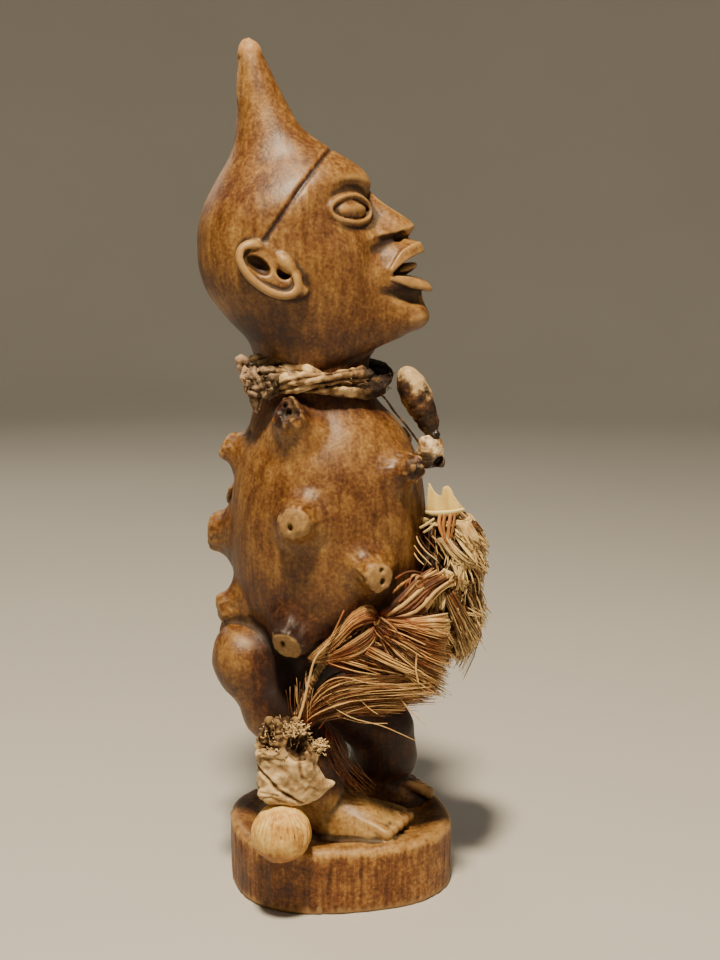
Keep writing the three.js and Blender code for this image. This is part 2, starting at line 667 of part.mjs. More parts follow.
function geometryOf(shape) {
  const { vertProperties, triVerts, numProp } = shape.getMesh();
  const count = vertProperties.length / numProp;
  const position = new Float32Array(count * 3);
  for (let i = 0; i < count; i++) position.set(vertProperties.subarray(i * numProp, i * numProp + 3), i * 3);
  const geometry = new THREE.BufferGeometry();
  geometry.setAttribute("position", new THREE.BufferAttribute(position, 3));
  geometry.setIndex(new THREE.BufferAttribute(triVerts, 1));
  geometry.computeVertexNormals();
  return geometry;
}

// The same shape with its skin pushed out, as a cutting tool that leaves a narrow gap.
function swollen(shape) {
  const geometry = geometryOf(shape);
  const { position, normal } = geometry.attributes;
  for (let i = 0; i < position.count; i++) {
    const point = new THREE.Vector3().fromBufferAttribute(position, i);
    point.addScaledVector(new THREE.Vector3().fromBufferAttribute(normal, i), GAP);
    position.setXYZ(i, ...point.toArray());
  }
  return solid(geometry);
}

// Adds a piece, cut back so that it stays clear of the pieces it touches, and returns it swollen.
function add(name, form, material, ...clearOf) {
  const shape = cut(form, clearOf).simplify(SIMPLE);
  const mesh = new THREE.Mesh(geometryOf(shape), material);
  mesh.name = name;
  group.add(mesh);
  return swollen(shape);
}

const figure = add("carved_figure", carvedFigure(), looks.wood);
const cloth = add("neck_cloth", neckCloth(), looks.neckCloth, figure);
add("nape_knot", napeKnot(), looks.knotCloth, figure, cloth);
const pod = add("chest_pod", chestPod(), looks.pod, figure, cloth);
const horn = add("chest_shell", shell(), looks.shell, figure, pod);
const cord = add("hip_cord", hipCord(), looks.fibre, figure);
const packet = add("belly_packet", bellyPacket(), looks.fibre, figure, horn, cord);
add("pale_leaf", paleLeaf(), looks.leaf, figure, packet, horn);
const bow = join(tuft(FEATHER_TUFT), tuft(FOLDED_TUFT));
const hip = add("hip_tuft", bow, looks.feather, figure, packet, cord);
const sweep = add("sweep_tuft", tuft(SWEEP_TUFT), looks.feather, figure, hip, packet);
const bundle = add("cloth_packet", clothPacket(), looks.packetCloth, figure, sweep);
add("hanging_nut", hangingNut(), looks.nut, figure, bundle);

export default group;
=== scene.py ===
"""A carved wooden Kongo power figure on its own base, with its ties, fibre tufts, cloth packet and nut.

The carving is modelled in clay-like steps: smooth shapes are joined and cut in a block of space that
is sampled on an even grid, and the skin of that block becomes one mesh. So are the nape knot, the pod,
the shell, the cloth packet and the nut. The neck cloth, the cords and the fibres are strands along
smooth paths. Lengths are in millimetres until a mesh is made, +Z is up, and the figure faces +X. The
photograph sees its right side, from -Y.
"""

import itertools
import math
from types import SimpleNamespace

import bpy
import numpy as np
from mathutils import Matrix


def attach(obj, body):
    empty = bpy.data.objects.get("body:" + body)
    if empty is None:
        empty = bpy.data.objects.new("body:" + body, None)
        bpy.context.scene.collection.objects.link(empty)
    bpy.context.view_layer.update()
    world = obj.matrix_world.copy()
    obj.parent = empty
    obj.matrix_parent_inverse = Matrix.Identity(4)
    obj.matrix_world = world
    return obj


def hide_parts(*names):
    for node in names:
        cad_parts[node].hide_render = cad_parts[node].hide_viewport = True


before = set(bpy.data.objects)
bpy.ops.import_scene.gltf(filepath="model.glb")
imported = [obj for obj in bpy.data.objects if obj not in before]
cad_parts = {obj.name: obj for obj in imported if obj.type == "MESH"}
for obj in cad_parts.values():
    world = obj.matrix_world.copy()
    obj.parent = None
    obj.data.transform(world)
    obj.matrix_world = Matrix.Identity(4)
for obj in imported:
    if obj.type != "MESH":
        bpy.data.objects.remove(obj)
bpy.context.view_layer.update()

MM = 0.001
TAU = 2 * math.pi
FAR = 9.0

# The driving sizes, which the solids share. Only the base's edges are rounded a little less here.
BASE = dict(length=80.5, width=74, height=23.5, edge=3.0, foot=1.2, squareness=2.5, turn=12)
TRUNK = dict(x=-4, z=129, deep=35, wide=33, high=50, squareness=2.42)
KNOB = dict(root=8.2, waist=5.7, length=9.2)
NECK = dict(x=-9, z=190, deep=19.5, wide=17)
HEAD_TILT = math.radians(19)
FLOOR = BASE["height"]
FAR_STEP = 8.5


# Small vector helpers on arrays of points

def smooth_step(low, high, value):
    """0 at low, 1 at high, and a smooth change between them. low may be the larger one."""
    t = np.clip((value - low) / (high - low), 0, 1)
    return t * t * (3 - 2 * t)


def unit(v):
    """Each vector at length 1."""
    v = np.asarray(v, float)
    return v / np.maximum(np.linalg.norm(v, axis=-1, keepdims=True), 1e-9)


def lattice(cells, seed):
    """A repeatable pseudo-random number from 0 to 1 for each whole-number cell."""
    c = cells.astype(np.int64)
    h = (c[..., 0] * 73856093) ^ (c[..., 1] * 19349663) ^ (c[..., 2] * 83492791) ^ (seed * 2654435761)
    h = (h ^ (h >> 13)) * 1274126177
    return ((h ^ (h >> 16)) & 0xFFFF) / 65535.0


def noise(points, size, seed):
    """Smooth noise from -1 to 1 that changes over a given size."""
    q = np.asarray(points) / size
    whole = np.floor(q)
    t = q - whole
    t = t * t * (3 - 2 * t)
    total = 0
    for corner in itertools.product((0, 1), repeat=3):
        weight = math.prod(t[..., k] if high else 1 - t[..., k] for k, high in enumerate(corner))
        total = total + weight * lattice(whole + corner, seed)
    return total * 2 - 1


def layered(points, size, seed, layers):
    """Noise on noise: each layer is half the size and half the strength of the one before."""
    total, scale = 0, 1.0
    for i in range(layers):
        total = total + noise(points, size / 2**i, seed + 17 * i) * scale
        scale *= 0.5
    return total


def cells(points, size, seed):
    """Distance to the nearest of some scattered points, in units of size."""
    q = np.asarray(points) / size
    whole = np.floor(q)
    first = np.full(q.shape[:-1], FAR)
    for offset in itertools.product((-1, 0, 1), repeat=3):
        cell = whole + offset
        spot = cell + np.stack([lattice(cell, seed + k) for k in (1, 2, 3)], -1)
        first = np.minimum(first, np.linalg.norm(q - spot, axis=-1))
    return first


def turned(angles):
    """A rotation matrix from three angles in degrees, about X, then Y, then Z."""
    a, b, c = np.radians(angles)
    rx = np.array([[1, 0, 0], [0, math.cos(a), -math.sin(a)], [0, math.sin(a), math.cos(a)]])
    ry = np.array([[math.cos(b), 0, math.sin(b)], [0, 1, 0], [-math.sin(b), 0, math.cos(b)]])
    rz = np.array([[math.cos(c), -math.sin(c), 0], [math.sin(c), math.cos(c), 0], [0, 0, 1]])
    return rz @ ry @ rx


# Clay: shapes joined and cut in a sampled block of space

def soft_min(a, b, blend):
    """The smaller of two values, with a smooth turn where they are within blend of each other."""
    if blend <= 0:
        return np.minimum(a, b)
    h = np.maximum(blend - np.abs(a - b), 0) / blend
    return np.minimum(a, b) - h * h * blend * 0.25


def soft_max(a, b, blend):
    return -soft_min(-a, -b, blend)


class Clay:
    """A block of space on an even grid. Its values are about the distance in mm, and negative inside."""

    def __init__(self, low, high, step):
        self.step = step
        self.axes = [np.arange(a, b + step, step, dtype=np.float32) for a, b in zip(low, high)]
        self.value = np.full([len(a) for a in self.axes], FAR, np.float32)

    def near(self, centre, reach):
        """The part of the block within reach of a centre, and its grid's x, y and z."""
        reach = np.broadcast_to(np.asarray(reach, float), 3)
        parts = []
        for axis, c, r in zip(self.axes, centre, reach):
            first = max(0, int((c - r - axis[0]) / self.step))
            last = min(len(axis), int((c + r - axis[0]) / self.step) + 2)
            parts.append(slice(first, last))
        x, y, z = (axis[part] for axis, part in zip(self.axes, parts))
        return tuple(parts), (x[:, None, None], y[None, :, None], z[None, None, :])

    def join(self, centre, reach, shape, blend=0.0):
        part, place = self.near(centre, reach)
        self.value[part] = soft_min(self.value[part], shape(*place), blend)

    def carve(self, centre, reach, shape, blend=0.0):
        part, place = self.near(centre, reach)
        self.value[part] = -soft_min(-self.value[part], shape(*place), blend)

    def fuse(self, part, field, blend=0.0):
        self.value[part] = soft_min(self.value[part], field.astype(np.float32), blend)

    def skin(self):
        """Points and four-sided faces of the surface, one point in each cell that it crosses."""
        v = self.value
        inside = v < 0
        count = np.zeros([n - 1 for n in v.shape], np.uint8)
        corners = list(itertools.product((0, 1), repeat=3))
        for c in corners:
            count += inside[tuple(slice(o, n - 1 + o) for o, n in zip(c, v.shape))]
        mixed = (count > 0) & (count < 8)
        index = np.full(mixed.shape, -1, np.int32)
        where = np.nonzero(mixed)
        index[where] = np.arange(len(where[0]))
        total = np.zeros((len(where[0]), 3))
        hits = np.zeros(len(where[0]))
        sample = {c: v[where[0] + c[0], where[1] + c[1], where[2] + c[2]] for c in corners}
        for a in corners:
            for axis in range(3):
                if a[axis]:
                    continue
                b = tuple(1 if k == axis else a[k] for k in range(3))
                crosses = (sample[a] < 0) != (sample[b] < 0)
                share = sample[a] / np.where(crosses, sample[a] - sample[b], 1)
                for k in range(3):
                    total[:, k] += np.where(crosses, a[k] + (share if k == axis else 0), 0)
                hits += crosses
        local = total / hits[:, None] + np.stack(where, -1)
        points = local * self.step + np.array([axis[0] for axis in self.axes])
        faces = []
        for axis in range(3):
            low = [slice(1, n - 1) for n in v.shape]
            low[axis] = slice(0, v.shape[axis] - 1)
            high = list(low)
            high[axis] = slice(1, v.shape[axis])
            a, b = inside[tuple(low)], inside[tuple(high)]
            crossing = np.nonzero(a != b)
            at = [w + (0 if k == axis else 1) for k, w in enumerate(crossing)]
            leaves = a[crossing]
            p, q = [k for k in range(3) if k != axis]
            if axis == 1:
                p, q = q, p
            ring = []
            for dp, dq in ((1, 1), (0, 1), (0, 0), (1, 0)):
                cell = [w.copy() for w in at]
                cell[p] -= dp
                cell[q] -= dq
                ring.append(index[tuple(cell)])
            quad = np.stack(ring, -1)
            faces.append(np.where(leaves[:, None], quad, quad[:, ::-1]))
        return points, np.concatenate(faces)


def ellipsoid(centre, radii, turn=(0, 0, 0)):
    """An egg with three half sizes, turned by three angles in degrees."""
    m = turned(turn).T
    r = np.asarray(radii, float)

    def shape(x, y, z):
        d = (x - centre[0], y - centre[1], z - centre[2])
        q = [m[i, 0] * d[0] + m[i, 1] * d[1] + m[i, 2] * d[2] for i in range(3)]
        near = np.sqrt(sum((q[i] / r[i]) ** 2 for i in range(3)))
        slope = np.sqrt(sum((q[i] / r[i] ** 2) ** 2 for i in range(3)))
        return near * (near - 1) / np.maximum(slope, 1e-4)

    return shape


def rod(a, b, ra, rb):
    """A round bar from a to b that changes from one radius to the other, with round ends."""
    a, b = np.asarray(a, float), np.asarray(b, float)
    axis = b - a
    length2 = float(axis @ axis)

    def shape(x, y, z):
        px, py, pz = x - a[0], y - a[1], z - a[2]
        t = np.clip((px * axis[0] + py * axis[1] + pz * axis[2]) / length2, 0, 1)
        away = np.sqrt((px - t * axis[0]) ** 2 + (py - t * axis[1]) ** 2 + (pz - t * axis[2]) ** 2)
        return away - (ra + (rb - ra) * t)

    return shape


def levelled(value, step):
    """Turns a field with the right zero surface into about a distance."""
    slopes = np.gradient(value, step)
    return value / np.sqrt(sum(s * s for s in slopes) + 1e-4)


def curve_through(rows):
    """A smooth function through the rows of a table: the first column is the place."""
    rows = np.asarray(rows, float)
    place = rows[:, 0]
    slope = np.gradient(rows[:, 1:], place, axis=0)
    fine = np.linspace(place[0], place[-1], 2400)
    i = np.clip(np.searchsorted(place, fine, side="right") - 1, 0, len(place) - 2)
    span = (place[i + 1] - place[i])[:, None]
    t = ((fine - place[i]) / span[:, 0])[:, None]
    a, b, sa, sb = rows[i, 1:], rows[i + 1, 1:], slope[i] * span, slope[i + 1] * span
    table = (2*t**3 - 3*t**2 + 1) * a + (t**3 - 2*t**2 + t) * sa + (3*t**2 - 2*t**3) * b + (t**3 - t**2) * sb

    def look(where):
        return [np.interp(where, fine, table[:, k]).astype(np.float32) for k in range(table.shape[1])]

    return look


# The carved figure

def to_head(x, y, z):
    """World place to the upright head: forward, left and up from the top of the neck."""
    dx, dz = x - NECK["x"], z - NECK["z"]
    c, s = math.cos(HEAD_TILT), math.sin(HEAD_TILT)
    return c * dx + s * dz, y, -s * dx + c * dz


def from_head(f, s, u):
    c, k = math.cos(HEAD_TILT), math.sin(HEAD_TILT)
    return np.array([NECK["x"] + c * f - k * u, s, NECK["z"] + k * f + c * u])


def tilted(shape):
    return lambda x, y, z: shape(*to_head(x, y, z))


# Height, back, front, half-width and where it is widest, from under the jaw to the crown's tip
SKULL = [
    (-2.5, -16, 20, 13, 3), (0, -17, 27, 16.5, 3), (5, -17.6, 31, 19.5, 4), (13, -18.8, 33, 22.6, 3),
    (24, -23.6, 33.6, 25.6, 2), (35, -27, 34.6, 27, 1), (41, -27.2, 34.9, 27, 1), (46, -26.5, 36.3, 26.6, 1),
    (51, -24.8, 39.2, 26, 2), (55, -23.3, 38.7, 25, 3), (59, -21.2, 36.5, 23, 4), (65, -16.4, 31.4, 18.8, 6),
    (70, -11, 27, 15, 8), (76, -4.2, 23.2, 11.8, 10), (85, 1.4, 20.8, 9, 11), (95, 5, 19.3, 6.9, 12),
    (104, 8.6, 18.2, 4.9, 13.4), (109, 10.8, 17.4, 3.4, 14.1), (111.2, 13, 15.6, 1.3, 14.3),
]
SKULL_SQUARENESS = 2.15
HAIRLINE = dict(front=(29.5, 66.9), ear=(-0.5, 45.2), step=0.35, groove=0.60, groove_width=0.95)

# Height, front and half-width of the nose and of the muzzle under it
NOSE = [
    (28, 39, 5), (29.6, 44.8, 6.5), (30.8, 46.6, 8.2), (32.3, 48.5, 9.4), (34.5, 48.0, 9.6), (37, 46.4, 8.2),
    (40, 44.0, 5.6), (45, 40.2, 3.8), (49, 38.0, 3.6), (53, 37.4, 4.5),
]
MUZZLE = [
    (-2, 33, 8.5), (1.5, 40.4, 10.6), (5, 42.8, 11.6), (9, 43.4, 12), (14, 44, 13), (20, 46.2, 13.6),
    (23, 47.9, 13.2), (25, 48.5, 12.4), (27, 47.7, 11.6), (28.6, 46.3, 10.4), (30.2, 44.5, 9.8),
    (31.8, 43, 11), (33.5, 42, 13), (37, 40.2, 12.6), (41, 37.6, 11.5), (45, 35, 9),
]
EYE = dict(height=45.0, angle=31.0, swing=1.3, slant=-11, ball=(8.2, 3.7, 3.2), lids=(10.2, 4.6))
EAR = dict(f=-2.4, u=35.2, high=12.1, wide=6.7, lean=-33)


def section(table, root, squareness):
    """A form that stands out forwards from a root line, with a front and a half-width at each height."""
    look = curve_through(table)
    low, high = table[0][0], table[-1][0]

    def shape(f, s, u):
        front, wide = look(u)
        out = np.maximum(f - root, 0) / (front - root)
        side = np.abs(s) / wide
        r = (out**squareness + side**squareness + 1e-9) ** (1 / squareness)
        ends = np.maximum(np.maximum(low - u, u - high), -4)
        return np.maximum((r - 1) * np.minimum(wide, front - root), ends)

    return shape


def skull_shape(f, s, u):
    back, front, wide, middle = curve_through(SKULL)(u)
    reach = np.where(f > middle, front - middle, middle - back)
    n = SKULL_SQUARENESS
    r = ((np.abs(f - middle) / reach) ** n + (np.abs(s) / wide) ** n + 1e-9) ** (1 / n)
    return (r - 1) * np.minimum(wide, reach)


def skull_point(u, angle):
    """Where the skull's skin lies at a height and an angle from straight ahead."""
    back, front, wide, middle = (float(v[0]) for v in curve_through(SKULL)(np.array([u])))
    power = 2 / SKULL_SQUARENESS
    c, s = math.cos(angle), math.sin(angle)
    reach = front - middle if c > 0 else middle - back
    side = math.copysign(abs(s) ** power * wide, s)
    return np.array([middle + math.copysign(abs(c) ** power * reach, c), side, u])


def hairline(f, u):
    """How far behind the carved hairline a place on the head is, and where the line runs at all."""
    (front_f, front_u), (ear_f, ear_u) = HAIRLINE["front"], HAIRLINE["ear"]
    slope = (front_u - ear_u) / (front_f - ear_f)
    return (u - ear_u - slope * (f - ear_f)) / math.hypot(1, slope), smooth_step(-3, 0.5, f)


def add_skull(clay):
    part, (x, y, z) = clay.near((0, 0, 246), (54, 33, 64))
    f, s, u = np.broadcast_arrays(*to_head(x, y, z))
    d = levelled(skull_shape(f, s, u), clay.step)
    d = np.maximum(d, np.maximum(SKULL[0][0] - u, u - SKULL[-1][0]))
    behind, on_line = hairline(f, u)
    d = d - HAIRLINE["step"] * smooth_step(-0.6, 1.0, behind) * on_line * smooth_step(16, 2, behind)
    d = d + HAIRLINE["groove"] * np.exp(-((behind / HAIRLINE["groove_width"]) ** 2)) * on_line
    clay.fuse(part, d, 5)


def eye_frame(side):
    """The eye's middle on the skull, with axes along the eye, up and outwards."""
    angle, slant = math.radians(EYE["angle"]), math.radians(EYE["slant"])
    place = skull_point(EYE["height"], side * angle)
    a = side * angle * EYE["swing"]
    outward = unit([math.cos(a), math.sin(a), 0.02])
    along = unit(np.cross([0, 0, 1], outward)) * -side
    up = unit(np.cross(outward, along))
    if up[2] < 0:
        up = -up
    c, k = math.cos(slant), math.sin(slant)
    return place, along * c + up * k, up * c - along * k, outward


def add_eye(clay, side):
    place, along, up, outward = eye_frame(side)
    centre = from_head(*place)

    def local(x, y, z):
        f, s, u = to_head(x, y, z)
        d = (f - place[0], s - place[1], u - place[2])
        a, b, h = (axis[0] * d[0] + axis[1] * d[1] + axis[2] * d[2] for axis in (along, up, outward))
        return a, b, h + a * a / 56 + b * b / 90

    def dish(x, y, z):
        a, b, h = local(x, y, z)
        r = np.sqrt((a / 13.6) ** 2 + ((b - 0.8) / 8.4) ** 2)
        return (np.sqrt(r * r + ((h - 1.2) / 2.7) ** 2 + 1e-6) - 1) * 2.7

    def ball(x, y, z):
        a, b, h = local(x, y, z)
        ra, rb, rh = EYE["ball"]
        m = 1.75
        flat = (np.abs(a) / ra) ** m + (np.abs(b) / rb) ** m
        return ((flat + (np.abs(h + 2.3) / rh) ** m + 1e-6) ** (1 / m) - 1) * rh

    def oval(a, b, la, lb):
        m = 1.9
        r = ((np.abs(a) / la) ** m + (np.abs(b) / lb) ** m + 1e-6) ** (1 / m)
        slope = np.sqrt((a / la**2) ** 2 + (b / lb**2) ** 2) / np.maximum(r, 0.3)
        return (r - 1) / np.maximum(slope, 0.08)

    def lids(x, y, z):
        a, b, h = local(x, y, z)
        thick = 0.95 + 0.3 * smooth_step(-2, 3, b)
        return np.sqrt(oval(a, b, *EYE["lids"]) ** 2 + (h + 0.75) ** 2 * 1.3) - thick

    def crease(x, y, z):
        a, b, h = local(x, y, z)
        ring = oval(a, b, EYE["lids"][0] - 1.15, EYE["lids"][1] - 1.15)
        return np.sqrt(ring**2 + (h - 0.1) ** 2) - (0.38 + 0.2 * smooth_step(-1, 3, b))

    def corner(x, y, z):
        a, b, h = local(x, y, z)
        t = np.clip((a - 1.5) / 4.5, 0, 1)
        return np.sqrt((a - 1.5 - 4.5 * t) ** 2 + (b - 3.1 + 1.5 * t) ** 2 + (h - 0.5) ** 2) - 1.25

    clay.carve(centre, 15, dish, 2.6)
    clay.join(centre, 11, ball, 0.3)
    clay.join(centre, 12, lids, 0.8)
    clay.carve(centre, 12, crease, 0.3)
    clay.carve(centre, 11, corner, 0.5)


def add_nose(clay):
    for side in (-1, 1):
        shade = rod((35.2, side * 11.4, 32.0), (46.5, side * 4.0, 30.2), 2.0, 1.9)
        clay.carve(from_head(41, side * 7, 31), (12, 10, 10), tilted(shade), 0.5)
    part, (x, y, z) = clay.near(from_head(38, 0, 40), (20, 14, 22))
    f, s, u = np.broadcast_arrays(*to_head(x, y, z))
    d = levelled(section(NOSE, 29, 1.7)(f, s, u), clay.step)
    under = 29.9 + 0.44 * np.abs(s) + 0.9 * np.maximum(f - 45.8, 0) - u
    clay.fuse(part, soft_max(d, under, 0.5), 0.6)
    for side in (-1, 1):
        hole = from_head(42.8, side * 4.4, 31.6)
        clay.carve(hole, 7, tilted(ellipsoid((42.4, side * 4.6, 31.2), (3.0, 1.8, 1.8))), 0.4)
        fold = tilted(rod((38.6, side * 9.4, 40.5), (35.4, side * 11.2, 33.4), 0.3, 0.8))
        clay.carve(from_head(37, side * 10.4, 37), 9, fold, 1.3)


def add_mouth(clay):
    part, (x, y, z) = clay.near(from_head(34, 0, 15), (24, 20, 26))
    f, s, u = np.broadcast_arrays(*to_head(x, y, z))
    clay.fuse(part, levelled(section(MUZZLE, 22, 2.3)(f, s, u), clay.step), 3.2)
    centre = from_head(42, 0, 17)
    span = (18, 20, 18)

    def upper_edge(f):
        along = np.clip((f - 34.4) / 12.8, 0, 1.1)
        return 19.9 + 4.1 * (1 - (1 - np.minimum(along, 1)) ** 2)

    def lower_edge(f):
        return 19.3 - 6.7 * np.clip((f - 34.4) / 13.4, 0, 1.2) ** 1.6

    def gape(f, s, u):
        back = 34.6 + (s / 12.5) ** 2 * 1.2 - f
        return np.maximum(np.maximum(u - upper_edge(f), lower_edge(f) - u), back)

    def upper_lip(f, s, u):
        reach = 48.7 - (np.abs(s) / 13.4) ** 2.3 * 13.5
        thick = 0.45 + 1.0 * smooth_step(35, 42, f)
        return np.maximum(np.maximum(f - reach, 36 - f), np.abs(u - upper_edge(f) - thick) - thick)

    def lower_lip(f, s, u):
        reach = 47.6 - (np.abs(s) / 13.0) ** 2.4 * 13
        thick = 0.8 + 1.35 * smooth_step(34, 41, f)
        return soft_max(np.maximum(f - reach, 34.5 - f), np.abs(u - lower_edge(f) + thick) - thick, 2.4)

    clay.carve(centre, span, tilted(gape), 0.5)
    clay.join(centre, span, tilted(upper_lip), 2.6)
    groove = tilted(rod((47.6, -7.5, 4.6), (47.6, 7.5, 4.6), 3.9, 3.9))
    clay.carve(from_head(46, 0, 6.6), (9, 16, 9), groove, 1.2)
    for side in (-1, 1):
        groove = tilted(rod((44.5, side * 7.4, 8.0), (31.5, side * 14.2, 15.0), 4.4, 2.0))
        clay.carve(from_head(39, side * 11, 11), 17, groove, 1.2)
    clay.join(centre, span, tilted(lower_lip), 0.9)
    clay.join(from_head(38, 0, 20), 13, tilted(ellipsoid((37.8, 0, 19.9), (7.4, 6.4, 2.1), (0, -2, 0))), 0.4)
    philtrum = tilted(rod((48.2, 0, 30.5), (50, 0, 25.6), 0.9, 1.3))
    clay.carve(from_head(48, 0, 28), 7, philtrum, 1.2)
    chin = tilted(ellipsoid((37.4, 0, 3.2), (6.4, 9.5, 4.6), (0, 10, 0)))
    clay.join(from_head(37.4, 0, 3.2), 14, chin, 2.4)
    for side in (-1, 1):
        fold = tilted(rod((33.4, side * 13.4, 31.0), (27.6, side * 18.6, 21.0), 0.2, 0.5))
        clay.carve(from_head(30, side * 16.5, 26), 12, fold, 3.4)


def add_ear(clay, side):
    wide = float(curve_through(SKULL)(np.array([EAR["u"]]))[2][0])
    ear_s = side * (wide - 0.6)
    centre = from_head(EAR["f"], ear_s, EAR["u"])
    lean = turned((0, EAR["lean"], 0)).T

    def local(x, y, z):
        f, s, u = to_head(x, y, z)
        d = (f - EAR["f"], u - EAR["u"])
        a = lean[0, 0] * d[0] + lean[0, 2] * d[1]
        b = lean[2, 0] * d[0] + lean[2, 2] * d[1]
        return a, b, (s - ear_s) * side

    def oval_ring(a, b, inset):
        broad, high = EAR["wide"] - inset, EAR["high"] - inset
        r = np.sqrt((a / broad) ** 2 + (b / high) ** 2 + 1e-6)
        slope = np.sqrt((a / broad**2) ** 2 + (b / high**2) ** 2) / np.maximum(r, 0.2)
        return (r - 1) / np.maximum(slope, 0.05)

    def plate(x, y, z):
        a, b, h = local(x, y, z)
        flare = h - (2.2 - 0.30 * a)
        return np.maximum(oval_ring(a, b, 0), flare)

    def rim(x, y, z):
        a, b, h = local(x, y, z)
        edge = oval_ring(a, b, 1.1)
        lift = h - (2.1 - 0.3 * a)
        gap = smooth_step(0.5, 4.5, a) * smooth_step(-10, -3, b) * smooth_step(10, 5, b)
        return np.sqrt(edge**2 + lift**2) - (1.65 - 1.2 * gap)

    def bowl(x, y, z):
        a, b, h = local(x, y, z)
        r = np.sqrt(((a + 0.9) / 2.5) ** 2 + ((b - 3.6) / 4.6) ** 2 + ((h - 2.6) / 3.8) ** 2 + 1e-6)
        return (r - 1) * 2.5

    def channel(x, y, z):
        a, b, h = local(x, y, z)
        ring = oval_ring(a, b, 2.7)
        inner = smooth_step(3.5, 0.5, a)
        return np.sqrt(ring**2 + (h - 2.5 + 0.3 * a) ** 2) - (0.1 + 0.6 * inner)

    def notch(x, y, z):
        a, b, h = local(x, y, z)
        r = np.sqrt(((a - 2.2) / 2.2) ** 2 + ((b + 4.4) / 2.5) ** 2 + ((h - 1.2) / 3.0) ** 2 + 1e-6)
        return (r - 1) * 2.1

    clay.join(centre, 17, plate, 1.4)
    clay.join(centre, 17, rim, 0.8)
    clay.carve(centre, 17, channel, 0.4)
    clay.carve(centre, 15, bowl, 0.6)
    clay.carve(centre, 13, notch, 0.6)
    tragus = tilted(ellipsoid((3.2, ear_s + side * 0.6, 35.4), (2.4, 2.2, 4.0), (0, -20, 0)))
    clay.join(from_head(3.4, ear_s + side * 0.8, 35.2), 8, tragus, 1.2)
    lobe = tilted(ellipsoid((3.6, ear_s + side * 0.2, 25.4), (4.2, 1.8, 2.2), (0, 12, 0)))
    clay.join(from_head(4.2, ear_s + side * 0.4, 25.4), 8, lobe, 1.6)


def girth(z):
    share = np.minimum(1, np.abs(z - TRUNK["z"]) / TRUNK["high"])
    return (1 - share ** TRUNK["squareness"] + 1e-6) ** (1 / TRUNK["squareness"])


def trunk_point(bearing, z, out=0.0):
    """The trunk's skin at a height and a bearing in degrees from -Y towards +X, pushed out a little."""
    g = girth(z)
    a = np.radians(bearing)
    return np.stack([
        TRUNK["x"] + np.sin(a) * (TRUNK["deep"] * g + out),
        -np.cos(a) * (TRUNK["wide"] * g + out),
        np.broadcast_to(z, np.shape(a)) + 0.0,
    ], -1)


def add_trunk(clay):
    part, (x, y, z) = clay.near((-4, 0, 129), (40, 38, 54))
    n = TRUNK["squareness"]
    flat = np.sqrt(((x - TRUNK["x"]) / TRUNK["deep"]) ** 2 + (y / TRUNK["wide"]) ** 2 + 1e-9)
    r = (flat**n + (np.abs(z - TRUNK["z"]) / TRUNK["high"]) ** n + 1e-9) ** (1 / n)
    clay.fuse(part, levelled((r - 1) * TRUNK["wide"], clay.step), 5)


# Bearing in degrees and height of each knob, with its own share of the length and of the width
KNOBS = [
    (-27, 169, 1.1, 1.15), (50, 154, 0.9, 0.9), (-14, 138.5, 1.05, 1.08), (25, 121.5, 1.05, 1.0),
    (-22, 98.5, 1.0, 1.14), (-80, 103.5, 0.95, 1.02), (-96, 158, 0.82, 0.95), (-98, 128, 0.98, 1.22),
    (-122, 138, 0.9, 0.9), (-140, 170, 0.9, 0.95), (-160, 133, 1.0, 1.0), (-128, 109, 0.95, 1.0),
    (-156, 97, 1.0, 1.0), (156, 119, 1.0, 0.95), (134, 157, 0.95, 1.0), (166, 160, 1.0, 1.0),
]

# The knobs whose ends are broken and dark
SNAPPED = (0, 1)


def knob_frame(bearing, z):
    """A knob's root on the trunk, with axes across, up and outwards."""
    place = trunk_point(bearing, z)
    up = trunk_point(bearing, z + 0.5) - trunk_point(bearing, z - 0.5)
    side = trunk_point(bearing + 0.5, z) - trunk_point(bearing - 0.5, z)
    outward = unit(np.cross(side, up))
    return place, unit(side), unit(up), outward


def rounded_edge(a, b, radius):
    """The space inside two surfaces, with the edge between them rounded to a radius."""
    p, q = np.maximum(a + radius, 0), np.maximum(b + radius, 0)
    return np.sqrt(p * p + q * q) + np.minimum(np.maximum(a, b) + radius, 0) - radius


